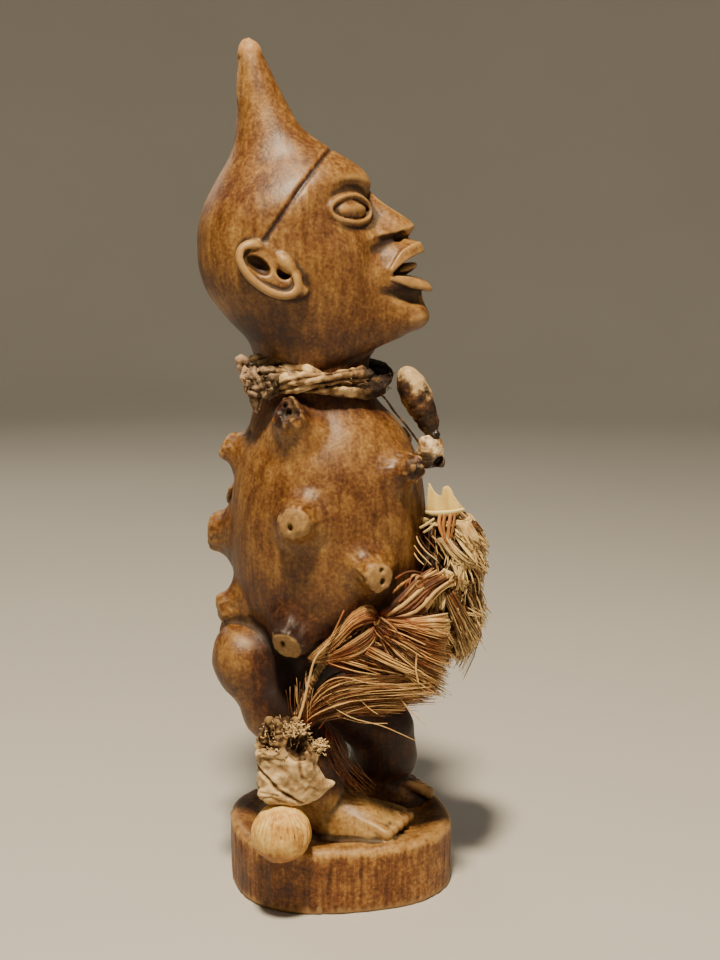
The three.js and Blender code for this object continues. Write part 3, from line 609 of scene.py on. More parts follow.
def add_knob(clay, number, bearing, height, tall, broad):
    place, side, up, outward = knob_frame(bearing, height)
    length = KNOB["length"] * tall
    luck = np.random.default_rng(100 + number)
    lean = luck.uniform(-0.14, 0.14, 2)
    wobble = luck.uniform(0, TAU, 4)
    slope = luck.uniform(0.04, 0.16)

    def local(x, y, z):
        d = (x - place[0], y - place[1], z - place[2])
        h = outward[0] * d[0] + outward[1] * d[1] + outward[2] * d[2]
        a = side[0] * d[0] + side[1] * d[1] + side[2] * d[2] - lean[0] * h
        b = up[0] * d[0] + up[1] * d[1] + up[2] * d[2] - lean[1] * h
        return a, b, h

    def stub(x, y, z):
        a, b, h = local(x, y, z)
        r = np.sqrt(a * a + b * b + 1e-6)
        angle = np.arctan2(b, a)
        t = np.clip(h / length, 0, 1)
        lumps = 1 + 0.06 * np.cos(2 * angle + wobble[0]) + 0.05 * np.cos(3 * angle + wobble[1])
        lumps += 0.02 * np.cos(7 * angle + wobble[2])
        wall = broad * lumps * (KNOB["waist"] + (KNOB["root"] - KNOB["waist"]) * (1 - t) ** 2.6 - 0.5 * t)
        tip = np.cos(angle - wobble[3]) * r * slope
        top = h - length + tip + 0.03 * (r / broad) ** 2
        out = r - wall
        if number in SNAPPED:
            top = top + 1.1 * np.cos(angle * 2 + wobble[1]) * np.minimum(r / 3, 1)
            top = top + 0.9 * np.cos(a * 1.3 + 2) * np.cos(b * 1.1)
        return rounded_edge(out, top, 1.7)

    def hole(x, y, z):
        a, b, h = local(x, y, z)
        angle, away = wobble[2], 0.9 + (0.25 * number) % 2
        r = np.sqrt((a - away * math.cos(angle)) ** 2 + ((b - away * math.sin(angle)) * 0.75) ** 2 + 1e-6)
        return np.maximum(r - 0.75 * broad, length - 2.0 - h)

    def pit(x, y, z):
        a, b, h = local(x, y, z)
        angle = wobble[2] + 2.2
        r = np.sqrt(((a - 2.6 * math.cos(angle)) * 0.8) ** 2 + (b - 2.6 * math.sin(angle)) ** 2 + 1e-6)
        return np.maximum(r - 0.65 * broad, length - 1.8 - h)

    clay.join(place + outward * 4, 18, stub, 4.6)
    clay.carve(place + outward * length, 5, hole, 1.0)
    if number % 3 == 0:
        clay.carve(place + outward * length, 6, pit, 0.9)


def add_neck(clay):
    deep, wide = NECK["deep"], NECK["wide"]

    def shape(x, y, z):
        share = 1.0 + 0.12 * smooth_step(188, 168, z) + 0.03 * smooth_step(196, 206, z)
        r = np.sqrt(((x - NECK["x"]) / (deep * share)) ** 2 + (y / (wide * share)) ** 2 + 1e-9)
        return np.maximum((r - 1) * wide, np.abs(z - 187) - 19)

    clay.join((NECK["x"], 0, 187), (30, 27, 24), shape, 5)


# Place and radius down the near leg (-1) and the far leg (1)
LEGS = {
    -1: [
        (-30, -13, 86, 11.2), (-23, -15, 68, 11), (-8, -17, 51, 10.2), (-9, -17, 40, 9), (-5, -16, 28.5, 7.6),
    ],
    1: [
        (-26, 13, 86, 11.4), (-10, 15, 68, 11.7), (15.5, 17, 49, 11.3), (17, 17.5, 39, 11),
        (8, 17, 28.5, 8.8),
    ],
}
FOOT = dict(heel=-9, y=13.5, splay=12, toe=4.5)


def add_legs(clay):
    clay.join((-14, 0, 80), (26, 28, 20), ellipsoid((-14, 0, 80), (18, 20, 12)), 5)
    for side, stations in LEGS.items():
        for (*a, radius_a), (*b, radius_b) in zip(stations[:-1], stations[1:]):
            a, b = np.array(a, float), np.array(b, float)
            reach = np.abs(a - b) / 2 + 18
            clay.join((a + b) / 2, reach, rod(a, b, radius_a, radius_b), 4)
        seat = ellipsoid((-35.3, side * 13, 84.5), (9.6, 12, 13.4), (0, -12, 0))
        clay.join((-35.3, side * 13, 84.5), (16, 18, 20), seat, 4.5)
    cleft = rod((-46, 0, 98), (-42, 0, 68), 2.4, 2.4)
    clay.carve((-44, 0, 83), (10, 8, 22), cleft, 3)


# Half-width and height along the foot, from behind the heel
FOOT_ROWS = [
    (-1, 5, 6), (1.5, 8.2, 10.8), (7, 10, 13.4), (13, 10.9, 13), (20, 11.6, 10.4), (26, 11.3, 7),
    (29.5, 10.2, 4.4),
]


def add_foot(clay, side):
    turn = math.radians(side * FOOT["splay"])
    heel = (FOOT["heel"] + (FAR_STEP if side > 0 else 0), side * FOOT["y"])
    look = curve_through(FOOT_ROWS)
    c, s = math.cos(turn), math.sin(turn)

    def to_foot(x, y):
        dx, dy = x - heel[0], y - heel[1]
        return c * dx + s * dy, -s * dx + c * dy

    part, (x, y, z) = clay.near((heel[0] + 14, heel[1], FLOOR + 6), (28, 22, 14))
    a, b = to_foot(x, y)
    half, high = look(a)
    dz = (z - FLOOR + 1) / (high + 1)
    r = (np.abs(b / half) ** 2.4 + np.abs(dz) ** 2.0 + 1e-9) ** (1 / 2.2)
    d = np.maximum((r - 1) * 7, np.maximum(-1 - a, a - 30))
    clay.fuse(part, levelled(np.broadcast_to(d, clay.value[part].shape).astype(np.float32), clay.step), 1.6)

    def on_foot(a, b, up):
        return heel[0] + c * a - s * b, heel[1] + s * a + c * b, FLOOR + up

    for i, inward in enumerate((2, 1, 0, -1, -2)):
        reach, aside = 30.6 - i * 1.1, -side * inward * FOOT["toe"]
        back, tip = on_foot(reach - 10, aside * 0.8, 6.8), on_foot(reach + 1.7, aside, 2.4)
        clay.join((np.array(back) + tip) / 2, 12, rod(back, tip, 1.9, 2.5), 0.4)
        nail = on_foot(reach + 2.4, aside, 4.9)
        clay.carve(nail, 5, ellipsoid(nail, (1.7, 1.3, 0.9)), 0.2)


BASE_INSET = 0.15


def add_base(clay):
    length, width, high = BASE["length"], BASE["width"], BASE["height"]
    turn = math.radians(BASE["turn"])
    c, s = math.cos(turn), math.sin(turn)
    part, (x, y, z) = clay.near((0, 0, high / 2), (46, 44, high / 2 + 3))
    a, b = c * x + s * y, -s * x + c * y
    n = BASE["squareness"]
    ra, rb = length / 2 - BASE_INSET, width / 2 - BASE_INSET
    r = ((np.abs(a) / ra) ** n + (np.abs(b) / rb) ** n + 1e-9) ** (1 / n)
    slab = np.broadcast_to((r - 1) * width / 2, r.shape[:2] + (3,))
    flat = levelled(slab.astype(np.float32), clay.step)[:, :, 1:2]
    around = np.arctan2(b / rb, a / ra)
    dish = 1.1 * smooth_step(-5, -11, flat) + 0.35 * np.cos(3 * around + 1) * smooth_step(-2, -8, flat)
    top = z - high + dish
    upper, lower = rounded_edge(flat, top, BASE["edge"]), rounded_edge(flat, -z, BASE["foot"])
    clay.fuse(part, np.maximum(upper, lower))


def model_figure(step):
    clay = Clay((-52, -46, -2), (52, 46, 303), step)
    add_trunk(clay)
    add_legs(clay)
    add_neck(clay)
    add_base(clay)
    for side in (-1, 1):
        add_foot(clay, side)
    for number, knob in enumerate(KNOBS):
        add_knob(clay, number, *knob)
    add_skull(clay)
    add_mouth(clay)
    for side in (-1, 1):
        add_eye(clay, side)
        add_ear(clay, side)
    add_nose(clay)
    return clay.skin()


# Meshes

def corner_normals(points, faces):
    """The skin's outward direction at each point, from the four-sided faces round it."""
    a, b, c, d = (points[faces[:, k]] for k in range(4))
    face = np.cross(c - a, d - b)
    normal = np.stack([
        sum(np.bincount(faces[:, k], face[:, axis], len(points)) for k in range(4)) for axis in range(3)
    ], -1)
    return unit(normal)


def rounding(points, faces, normal):
    """How far each point sticks out of its neighbours' mean, along its normal, in mm."""
    total = np.zeros_like(points)
    hits = np.zeros(len(points))
    for k in range(4):
        a, b = faces[:, k], faces[:, (k + 1) % 4]
        for axis in range(3):
            total[:, axis] += np.bincount(a, points[b, axis], len(points))
            total[:, axis] += np.bincount(b, points[a, axis], len(points))
        hits += np.bincount(a, minlength=len(points)) + np.bincount(b, minlength=len(points))
    mean = total / np.maximum(hits, 1)[:, None]
    return np.sum((points - mean) * normal, -1)


def spread(values, faces, times):
    """Averages a value over neighbouring points a few times."""
    for _ in range(times):
        mean = values[faces].mean(1)
        total = sum(np.bincount(faces[:, k], mean, len(values)) for k in range(4))
        hits = sum(np.bincount(faces[:, k], minlength=len(values)) for k in range(4))
        values = total / np.maximum(hits, 1)
    return values


def build_mesh(name, points, loops, sizes, facts):
    """A mesh object from points in mm, corner indices, corners per face and values kept at points."""
    mesh = bpy.data.meshes.new(name)
    mesh.vertices.add(len(points))
    mesh.vertices.foreach_set("co", (np.asarray(points) * MM).astype(np.float32).ravel())
    mesh.loops.add(len(loops))
    mesh.loops.foreach_set("vertex_index", np.asarray(loops, np.int32))
    mesh.polygons.add(len(sizes))
    starts = np.concatenate([[0], np.cumsum(sizes)[:-1]]).astype(np.int32)
    mesh.polygons.foreach_set("loop_start", starts)
    mesh.update(calc_edges=True)
    mesh.polygons.foreach_set("use_smooth", np.full(len(sizes), True))
    for key, values in facts.items():
        layer = mesh.attributes.new(key, "FLOAT", "POINT")
        layer.data.foreach_set("value", np.asarray(values, np.float32))
    mesh.validate()
    made = bpy.data.objects.new(name, mesh)
    bpy.context.scene.collection.objects.link(made)
    return made


def thinned(made, most):
    """Merges the flattest faces until at most so many triangles are left."""
    triangles = sum(len(p.vertices) - 2 for p in made.data.polygons)
    if triangles <= most:
        return made
    change = made.modifiers.new("thin", "DECIMATE")
    change.ratio = most / triangles
    result = bpy.data.meshes.new_from_object(made.evaluated_get(bpy.context.evaluated_depsgraph_get()))
    made.modifiers.clear()
    old, made.data = made.data, result
    bpy.data.meshes.remove(old)
    result.polygons.foreach_set("use_smooth", np.full(len(result.polygons), True))
    return made


def place_piece(made, material, node):
    """Puts a piece on the one body, in place of a node of the solids."""
    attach(made, "root")
    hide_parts(node)
    made.data.materials.clear()
    made.data.materials.append(material)


# Fine carving on the figure's skin

def knob_marks(points):
    """For each point: its distance from the nearest knob's axis, its height up that knob, its angle round
    it, and 1 where that knob's end is broken."""
    best = np.full(len(points), 99.0)
    height = np.zeros(len(points))
    angle = np.zeros(len(points))
    snapped = np.zeros(len(points))
    for number, (bearing, z, tall, broad) in enumerate(KNOBS):
        place, side, up, outward = knob_frame(bearing, z)
        d = points - place
        h = d @ outward
        a, b = d @ side, d @ up
        r = np.hypot(a, b) / broad
        near = (r < best) & (h > -8) & (h < 14)
        best = np.where(near, r, best)
        height = np.where(near, h / tall, height)
        angle = np.where(near, np.arctan2(b, a), angle)
        snapped = np.where(near, float(number in SNAPPED), snapped)
    return best, height, angle, snapped


# The crown's back edge: height and place forwards on the upright head
CROWN_BACK = [(76, -4), (85, 1.4), (95, 5), (104, 8.6), (109, 10.8)]


def skin_places(points, normal):
    """Where on the figure each point lies, mostly as shares from 0 to 1."""
    f, s, u = to_head(*points.T)
    z, tilt = points[:, 2], normal[:, 2]
    r, h, angle, snapped = knob_marks(points)
    base = smooth_step(FLOOR + 1, FLOOR - 2, z)
    end = smooth_step(5.4, 4.6, r) * smooth_step(6.6, 8.0, h)
    cuts = np.cos(angle * 23 + 2.2 * noise(points, 5, 8)) * (0.6 + 0.4 * noise(points, 3, 9))
    return SimpleNamespace(
        f=f, aside=np.abs(s), u=u, tilt=tilt, knob_angle=angle, snapped=snapped,
        head=smooth_step(3, 8, u) * (z > 190),
        base=base,
        leg=smooth_step(100, 84, z) * (1 - base),
        knob_root=smooth_step(4.6, 6.4, r) * smooth_step(13.5, 9.0, r) * smooth_step(7, 3, np.abs(h)),
        knob_end=end,
        knob_wall=smooth_step(8, 5, r) * smooth_step(1, 3, h) * (1 - end),
        cuts=np.maximum(cuts, 0),
        base_wall=base * smooth_step(0.9, 0.5, np.abs(tilt)),
        base_top=base * smooth_step(0.5, 0.9, tilt),
        crown_back=smooth_step(80, 88, u) * smooth_step(3.4, 0.8, f - np.interp(u, *zip(*CROWN_BACK))),
        crown_tip=smooth_step(102, 107, u),
    )


def carve_details(points, at):
    """How far fine carving and wear push each point of the skin out or in, in mm."""
    # Shallow dishes that the blade left
    dishes = cells(points, 7.5, 5) ** 2 - 0.25
    push = (0.10 + 0.30 * at.leg + 0.16 * at.base - 0.05 * at.head) * dishes
    push += 0.10 * layered(points, 9, 3, 2)

    # Chisel cuts that run out from each knob's root, its rough cut end and its wall
    push -= at.knob_root * (0.16 * at.cuts + 0.05)
    push += at.knob_end * 0.26 * layered(points, 2.3, 11, 3)
    ripples = np.cos(at.knob_angle * 11 + 3 * noise(points, 4, 12))
    push += at.knob_wall * (0.16 * ripples + 0.22 * layered(points, 2.6, 13, 2))

    # Grain and drying cracks down the base's wall, and tool marks on its top
    along = points * (1, 1, 0.13)
    push += at.base_wall * 0.22 * layered(along, 1.7, 21, 2)
    crack = smooth_step(0.90, 0.985, 1 - np.abs(noise(along, 5.2, 23)))
    push -= at.base_wall * crack * 0.45 * smooth_step(-0.2, 0.5, noise(points, 9, 24))
    push += at.base_top * (0.28 * layered(points, 4.0, 25, 2))

    # The crown's chipped back edge and worn tip
    chips = np.maximum(layered(points * (1, 1, 0.5), 2.2, 31, 2), -0.3)
    push -= at.crown_back * (0.25 + 0.55 * chips)
    push += at.crown_tip * 0.18 * layered(points, 1.6, 33, 2)
    return push


def paint_facts(points, at):
    """Where the wood is golden and worn paler, where it is painted lighter as highlight, and where it is
    painted darker as shade.
    """
    x, y, z = points.T
    belly = np.exp(-(((x + 6 - 0.25 * (129 - z)) / 19) ** 2) - ((z - 112) / 26) ** 2) * (y < 0)
    # neck, legs, jaw, under_nose and low_trunk mark where the wood is painted darker as shade.
    neck = smooth_step(168, 178, z) * smooth_step(2, -4, at.u)
    legs = at.leg * smooth_step(FLOOR + 4, FLOOR + 14, z) * np.maximum(smooth_step(-30, -14, x), y > 0)
    jaw = at.head * smooth_step(-0.15, -0.75, at.tilt) * smooth_step(30, 18, at.u)
    under_nose = np.exp(-(((at.u - 31.0 - 0.12 * at.aside) / 1.5) ** 4))
    under_nose = under_nose * smooth_step(34.6, 36.6, at.f) * smooth_step(47.5, 45.5, at.f)
    under_nose = under_nose * smooth_step(2.6, 4.0, at.aside) * smooth_step(12.6, 10.6, at.aside)
    low_trunk = smooth_step(124, 92, z) * smooth_step(60, 78, z) * smooth_step(-36, -20, x)
    near_foot = (1 - at.base) * smooth_step(FLOOR + 19, FLOOR + 12, z) * (y < 0) * smooth_step(-22, -12, x)
    behind, on_line = hairline(at.f, at.u)
    # Golden on the belly, which is the wood's own tone; the upper trunk and the head, most of all its front,
    # are painted lighter as highlight.
    golden_and_highlight = belly * (1 - at.base) + 0.9 * smooth_step(146, 170, z) * (z < 190)
    golden_and_highlight = golden_and_highlight + 0.8 * at.head * smooth_step(22, 34, at.f) + 0.4 * at.head
    # Painted shade on the far leg and the front of the near leg, the neck, the jaw's underside, the lower
    # trunk and under the nose; the broken knob ends are darkened too.
    shade = legs * (1 - near_foot) + 0.8 * neck + 1.4 * jaw + 1.3 * low_trunk
    shade = shade + 1.2 * at.snapped * at.knob_end + 1.3 * under_nose
    return dict(
        knob=at.knob_end * (1.0 - 0.85 * at.snapped) + 0.05 * at.knob_wall + 0.22 * at.knob_root * at.cuts,
        stub=np.clip(at.knob_wall + at.knob_end, 0, 1),
        tip=np.maximum(at.crown_tip, at.crown_back * 0.55),
        base=at.base,
        # The base's top and upper rim are painted lighter: wear, and painted light from above.
        flat=np.maximum(at.base_top, at.base * smooth_step(FLOOR - 4.5, FLOOR - 1.5, z)),
        golden_and_highlight=np.clip(golden_and_highlight, 0, 1.2),
        shade=np.clip(shade, 0, 1.4),
        line=on_line * at.head * np.exp(-((behind / 0.6) ** 2)),
        # The near foot is painted paler: polish, and a painted highlight.
        polish_and_highlight=near_foot,
    )


MOST_TRIANGLES = 190000


def make_figure(material):
    step = 0.5
    points, faces = model_figure(step)
    normal = corner_normals(points, faces)
    at = skin_places(points, normal)
    facts = paint_facts(points, at)
    points = points + normal * carve_details(points, at)[:, None]
    points[:, 2] = np.maximum(points[:, 2], 0)
    normal = corner_normals(points, faces)
    bend = rounding(points, faces, normal) / step
    facts["edge"] = np.clip(spread(bend, faces, 2) * 9, -1, 1)
    facts["hollow"] = np.clip(spread(bend, faces, 14) * 26, -1, 1)
    made = build_mesh("figure", points, faces.ravel(), np.full(len(faces), 4), facts)
    place_piece(thinned(made, MOST_TRIANGLES), material, "carved_figure")


# Materials

class Paint:
    """One material. Every pattern is worked out from the piece's own place, in metres."""

    def __init__(self, name, **shader):
        self.material = bpy.data.materials.new(name)
        self.material.use_nodes = True
        self.tree = self.material.node_tree
        self.shader = self.tree.nodes["Principled BSDF"]
        self.place = self.add("ShaderNodeTexCoord").outputs["Object"]
        for key, value in shader.items():
            self.shader.inputs[key.replace("_", " ")].default_value = value

    def add(self, kind, inputs=None, **settings):
        node = self.tree.nodes.new(kind)
        for key, value in settings.items():
            setattr(node, key, value)
        for key, value in (inputs or {}).items():
            if isinstance(value, bpy.types.NodeSocket):
                self.tree.links.new(value, node.inputs[key])
            else:
                node.inputs[key].default_value = value
        return node

    def stretched(self, stretch):
        if stretch == (1, 1, 1):
            return self.place
        return self.add("ShaderNodeMapping", {"Vector": self.place, "Scale": stretch}).outputs["Vector"]

    def noise(self, scale, detail=3.0, stretch=(1, 1, 1), rough=0.55):
        inputs = {"Vector": self.stretched(stretch), "Scale": scale, "Detail": detail, "Roughness": rough}
        return self.add("ShaderNodeTexNoise", inputs).outputs["Fac"]

    def cells(self, scale, stretch):
        inputs = {"Vector": self.stretched(stretch), "Scale": scale}
        return self.add("ShaderNodeTexVoronoi", inputs).outputs["Distance"]

    def fact(self, name):
        return self.add("ShaderNodeAttribute", attribute_name=name).outputs["Fac"]

    def math(self, operation, a, b=0.0):
        return self.add("ShaderNodeMath", {0: a, 1: b}, operation=operation).outputs[0]

    def cover(self, share, strength, colour, top):
        """A colour laid over another one, where share is 1, as strongly as strength says."""
        return self.mix(self.math("MULTIPLY", share, strength), colour, top)

    def weigh(self, *pairs):
        """The sum of several values, each times its weight."""
        total = 0.0
        for value, weight in pairs:
            inputs = {0: value, 1: weight, 2: total}
            total = self.add("ShaderNodeMath", inputs, operation="MULTIPLY_ADD").outputs[0]
        return total

    def between(self, value, low, high, to_low=0.0, to_high=1.0):
        """A smooth change from one value to another while a pattern goes from low to high."""
        inputs = {"Value": value, "From Min": low, "From Max": high, "To Min": to_low, "To Max": to_high}
        return self.add("ShaderNodeMapRange", inputs, interpolation_type="SMOOTHSTEP").outputs["Result"]

    def ramp(self, value, *stops):
        """A colour ramp through pairs of place and colour."""
        node = self.add("ShaderNodeValToRGB", {"Fac": value})
        bar = node.color_ramp.elements
        while len(bar) < len(stops):
            bar.new(0.5)
        for element, (at, colour) in zip(bar, stops):
            element.position = at
            element.color = (*colour, 1)
        return node.outputs["Color"]

    def mix(self, share, a, b, kind="MIX"):
        a, b = (v if isinstance(v, bpy.types.NodeSocket) else (*v, 1) for v in (a, b))
        node = self.add("ShaderNodeMix", {0: share, 6: a, 7: b}, data_type="RGBA", blend_type=kind)
        return node.outputs[2]

    def finish(self, colour, roughness, height, depth):
        """Joins up the shader, with the height pattern as a bump of so many metres."""
        self.tree.links.new(colour, self.shader.inputs["Base Color"])
        self.tree.links.new(roughness, self.shader.inputs["Roughness"])
        bump = self.add("ShaderNodeBump", {"Height": height, "Distance": depth, "Strength": 1.0})
        self.tree.links.new(bump.outputs["Normal"], self.shader.inputs["Normal"])
        return self.material


def wood_paint():
    p = Paint("polished_old_wood", Coat_Weight=0.05, Coat_Roughness=0.35, Specular_IOR_Level=0.40)
    patch = p.noise(42, 2)
    mottle = p.noise(165, 4, rough=0.62)
    speck = p.noise(850, 3)
    grain = p.noise(430, 3, stretch=(1, 1, 0.10))
    base = p.fact("base")
    # The tone rises where the wood is golden and where it is painted lighter as highlight, and falls where it
    # is painted darker as shade.
    tone = p.weigh(
        (patch, 0.22), (mottle, 0.26), (speck, 0.28), (grain, 0.24), (p.fact("golden_and_highlight"), 0.055),
        (p.fact("shade"), -0.15), (p.fact("polish_and_highlight"), 0.14), (p.fact("line"), -0.22),
    )
    colour = p.ramp(
        tone, (0.31, (0.018, 0.005, 0.002)), (0.40, (0.056, 0.016, 0.004)), (0.49, (0.128, 0.048, 0.011)),
        (0.58, (0.238, 0.112, 0.028)), (0.72, (0.44, 0.265, 0.088)),
    )
    streak = p.noise(620, 4, stretch=(1, 1, 0.07), rough=0.6)
    # flat lightens the base's top and rim: wear, and painted light from above.
    base_tone = p.weigh((streak, 0.24), (mottle, 0.26), (patch, 0.20), (speck, 0.30), (p.fact("flat"), 0.12))
    colour = p.mix(base, colour, p.ramp(
        base_tone, (0.37, (0.034, 0.009, 0.002)), (0.45, (0.100, 0.028, 0.005)),
        (0.52, (0.190, 0.066, 0.012)), (0.59, (0.34, 0.155, 0.036)), (0.69, (0.54, 0.33, 0.11)),
    ))
    hollow, edge, stub, shade = (p.fact(name) for name in ("hollow", "edge", "stub", "shade"))
    # Darker in hollows: grime, and painted shade where the skin curves in.
    grime_and_hollow_shade = p.between(p.weigh((hollow, -1.0), (mottle, 0.35)), 0.30, 0.75)
    colour = p.cover(grime_and_hollow_shade, 0.8, colour, (0.012, 0.005, 0.0025))
    # Paler on edges and rounded parts: worn wood, and a painted highlight along the edges.
    wear_and_edge_highlight = p.weigh((edge, 0.8), (hollow, 0.35), (mottle, 0.4), (stub, -0.35), (shade, -0.25))
    colour = p.cover(p.between(wear_and_edge_highlight, 0.36, 0.95), 0.6, colour, (0.47, 0.27, 0.095))
    uneven = p.math("SUBTRACT", mottle, 0.5)
    pale = p.between(p.weigh((p.fact("knob"), 1.0), (uneven, 1.2)), 0.12, 1.0)
    colour = p.cover(pale, 0.75, colour, p.mix(speck, (0.16, 0.075, 0.022), (0.50, 0.31, 0.115)))
    tip = p.between(p.weigh((p.fact("tip"), 1.0), (uneven, 1.0)), 0.2, 1.0)
    colour = p.cover(tip, 0.8, colour, p.mix(speck, (0.25, 0.105, 0.035), (0.58, 0.32, 0.12)))
    matt = p.weigh(
        (base, 0.12), (pale, 0.25), (tip, 0.2), (grime_and_hollow_shade, 0.25), (mottle, 0.36), (speck, 0.20), (shade, 0.12),
    )
    on_base = p.math("MULTIPLY", base, 1.2)
    height = p.weigh((speck, 0.5), (grain, 0.7), (p.noise(2600, 2), 0.35), (streak, on_base))
    return p.finish(colour, p.between(matt, 0.0, 1.0, 0.34, 0.90), height, 0.00016)


# Strands: closed, tapering prisms along smooth paths

def along_path(stations, count):
    """Points at even steps of a smooth curve through stations: (..., stations, 3) to (..., count, 3)."""
    p = np.asarray(stations, float)
    last = p.shape[-2] - 1
    t = np.linspace(0, last, count)
    i = np.minimum(t.astype(int), last - 1)
    t = (t - i)[:, None]
    a, b, c, d = (p[..., np.clip(i + k, 0, last), :] for k in (-1, 0, 1, 2))
    return 0.5 * (2*b + (c - a) * t + (2*a - 5*b + 4*c - d) * t**2 + (3*b - a - 3*c + d) * t**3)


def bent_paths(luck, base, tips, stray):
    """Short paths from base to tips, whose middles stray aside."""
    middle = (base + tips) / 2 + luck.normal(size=base.shape) * stray
    return along_path(np.stack([base, middle, tips], 1), 6)


def strand_mesh(paths, wide, thick, side, tone, sides=4, face=None):
    """Points, faces and facts of many strands. paths is (strands, steps, 3), wide and thick are half sizes.
    A strand's width runs along side, or across its path when face gives where its flat face looks to."""
    n, k, _ = paths.shape
    ahead = unit(np.gradient(paths, axis=1))
    if face is None:
        side = np.broadcast_to(np.asarray(side, float), (n, 3))[:, None, :]
    else:
        side = np.cross(ahead, np.broadcast_to(np.asarray(face, float), (n, 3))[:, None, :])
    side = unit(side - np.sum(side * ahead, -1, keepdims=True) * ahead)
    up = np.cross(ahead, side)
    angle = TAU * (np.arange(sides) + 0.5) / sides
    wide = np.broadcast_to(wide, (n, k))[:, :, None, None]
    thick = np.broadcast_to(thick, (n, k))[:, :, None, None]
    across = side[:, :, None, :] * wide * np.cos(angle)[:, None]
    over = up[:, :, None, :] * thick * np.sin(angle)[:, None]
    points = (paths[:, :, None, :] + across + over).reshape(-1, 3)
    index = np.arange(n * k * sides).reshape(n, k, sides)
    turn = np.roll(index, -1, axis=2)
    walls = np.stack([index[:, :-1], turn[:, :-1], turn[:, 1:], index[:, 1:]], -1).reshape(-1, 4)
    caps = np.concatenate([index[:, 0, ::-1], index[:, -1]])
    share = np.broadcast_to(np.linspace(0, 1, k)[None, :, None], (n, k, sides)).ravel()
    tones = np.broadcast_to(np.asarray(tone)[:, None, None], (n, k, sides)).ravel()
    loops = np.concatenate([walls.ravel(), caps.ravel()])
    sizes = np.concatenate([np.full(len(walls), 4), np.full(len(caps), sides)])
    return dict(points=points, loops=loops, sizes=sizes, facts=dict(tone=tones, along=share))


def merged(parts):
    """Several bundles of points and faces as one. A fact that a bundle lacks is 0 there."""
    counts = [len(part["points"]) for part in parts]
    starts = np.cumsum([0] + counts[:-1])
    names = sorted({key for part in parts for key in part["facts"]})
    return dict(
        points=np.concatenate([part["points"] for part in parts]),
        loops=np.concatenate([part["loops"] + start for part, start in zip(parts, starts)]),
        sizes=np.concatenate([part["sizes"] for part in parts]),
        facts={
            key: np.concatenate([part["facts"].get(key, np.zeros(n)) for part, n in zip(parts, counts)])
            for key in names
        },
    )


def sheaf(luck, count, guides, wide, thick, loose, steps, cut, curl, tone, flat=0.0):
    """Strands that follow guides, lines of stations from the first strand of the sheaf to the last.
    wide, thick and tone are ranges, and loose is how far the strands stray at their start and end. cut is
    the share that the shortest lack, and flat from 0 to 1 is how much their flat faces look at the camera."""
    guides = np.asarray(guides, float)
    place = np.sort(luck.random(count)) * (len(guides) - 1)
    i = np.minimum(place.astype(int), len(guides) - 2)
    share = (place - i)[:, None, None]
    lines = guides[i] * (1 - share) + guides[i + 1] * share
    paths = along_path(lines, steps)
    t = np.linspace(0, 1, steps)[None, :, None]
    length = np.linalg.norm(np.diff(paths, axis=1), axis=-1).sum(1)[:, None, None]
    start = luck.normal(size=(count, 1, 3)) * loose[0]
    drift = luck.normal(size=(count, 1, 3)) * loose[1]
    wave = luck.normal(size=(count, 1, 3)) * curl * np.sin(t * math.pi * (1 + luck.random((count, 1, 1))))
    paths = paths + start * (1 - 0.3 * t) + drift * t**1.5 + wave * (length / 20) * t
    keep = 1 - cut * luck.random((count, 1))
    fine = np.linspace(0, 1, steps) * keep * (steps - 1)
    low = np.minimum(fine.astype(int), steps - 2)
    rest = (fine - low)[:, :, None]
    rows = np.arange(count)[:, None]
    paths = paths[rows, low] * (1 - rest) + paths[rows, low + 1] * rest
    taper = 1 - 0.55 * np.linspace(0, 1, steps) ** 2.5
    w = luck.uniform(*wide, count)[:, None] * taper
    h = luck.uniform(*thick, count)[:, None] * taper
    tones = tone[0] + (tone[1] - tone[0]) * luck.random(count) ** 2.0
    face = unit(luck.normal(size=(count, 3)) * (1 - flat) + np.array((0, -1.0, 0.15)) * flat * 2)
    return strand_mesh(paths, w, h, None, tones, 4, face)


def piece_of(name, part, material, node):
    place_piece(build_mesh(name, **part), material, node)


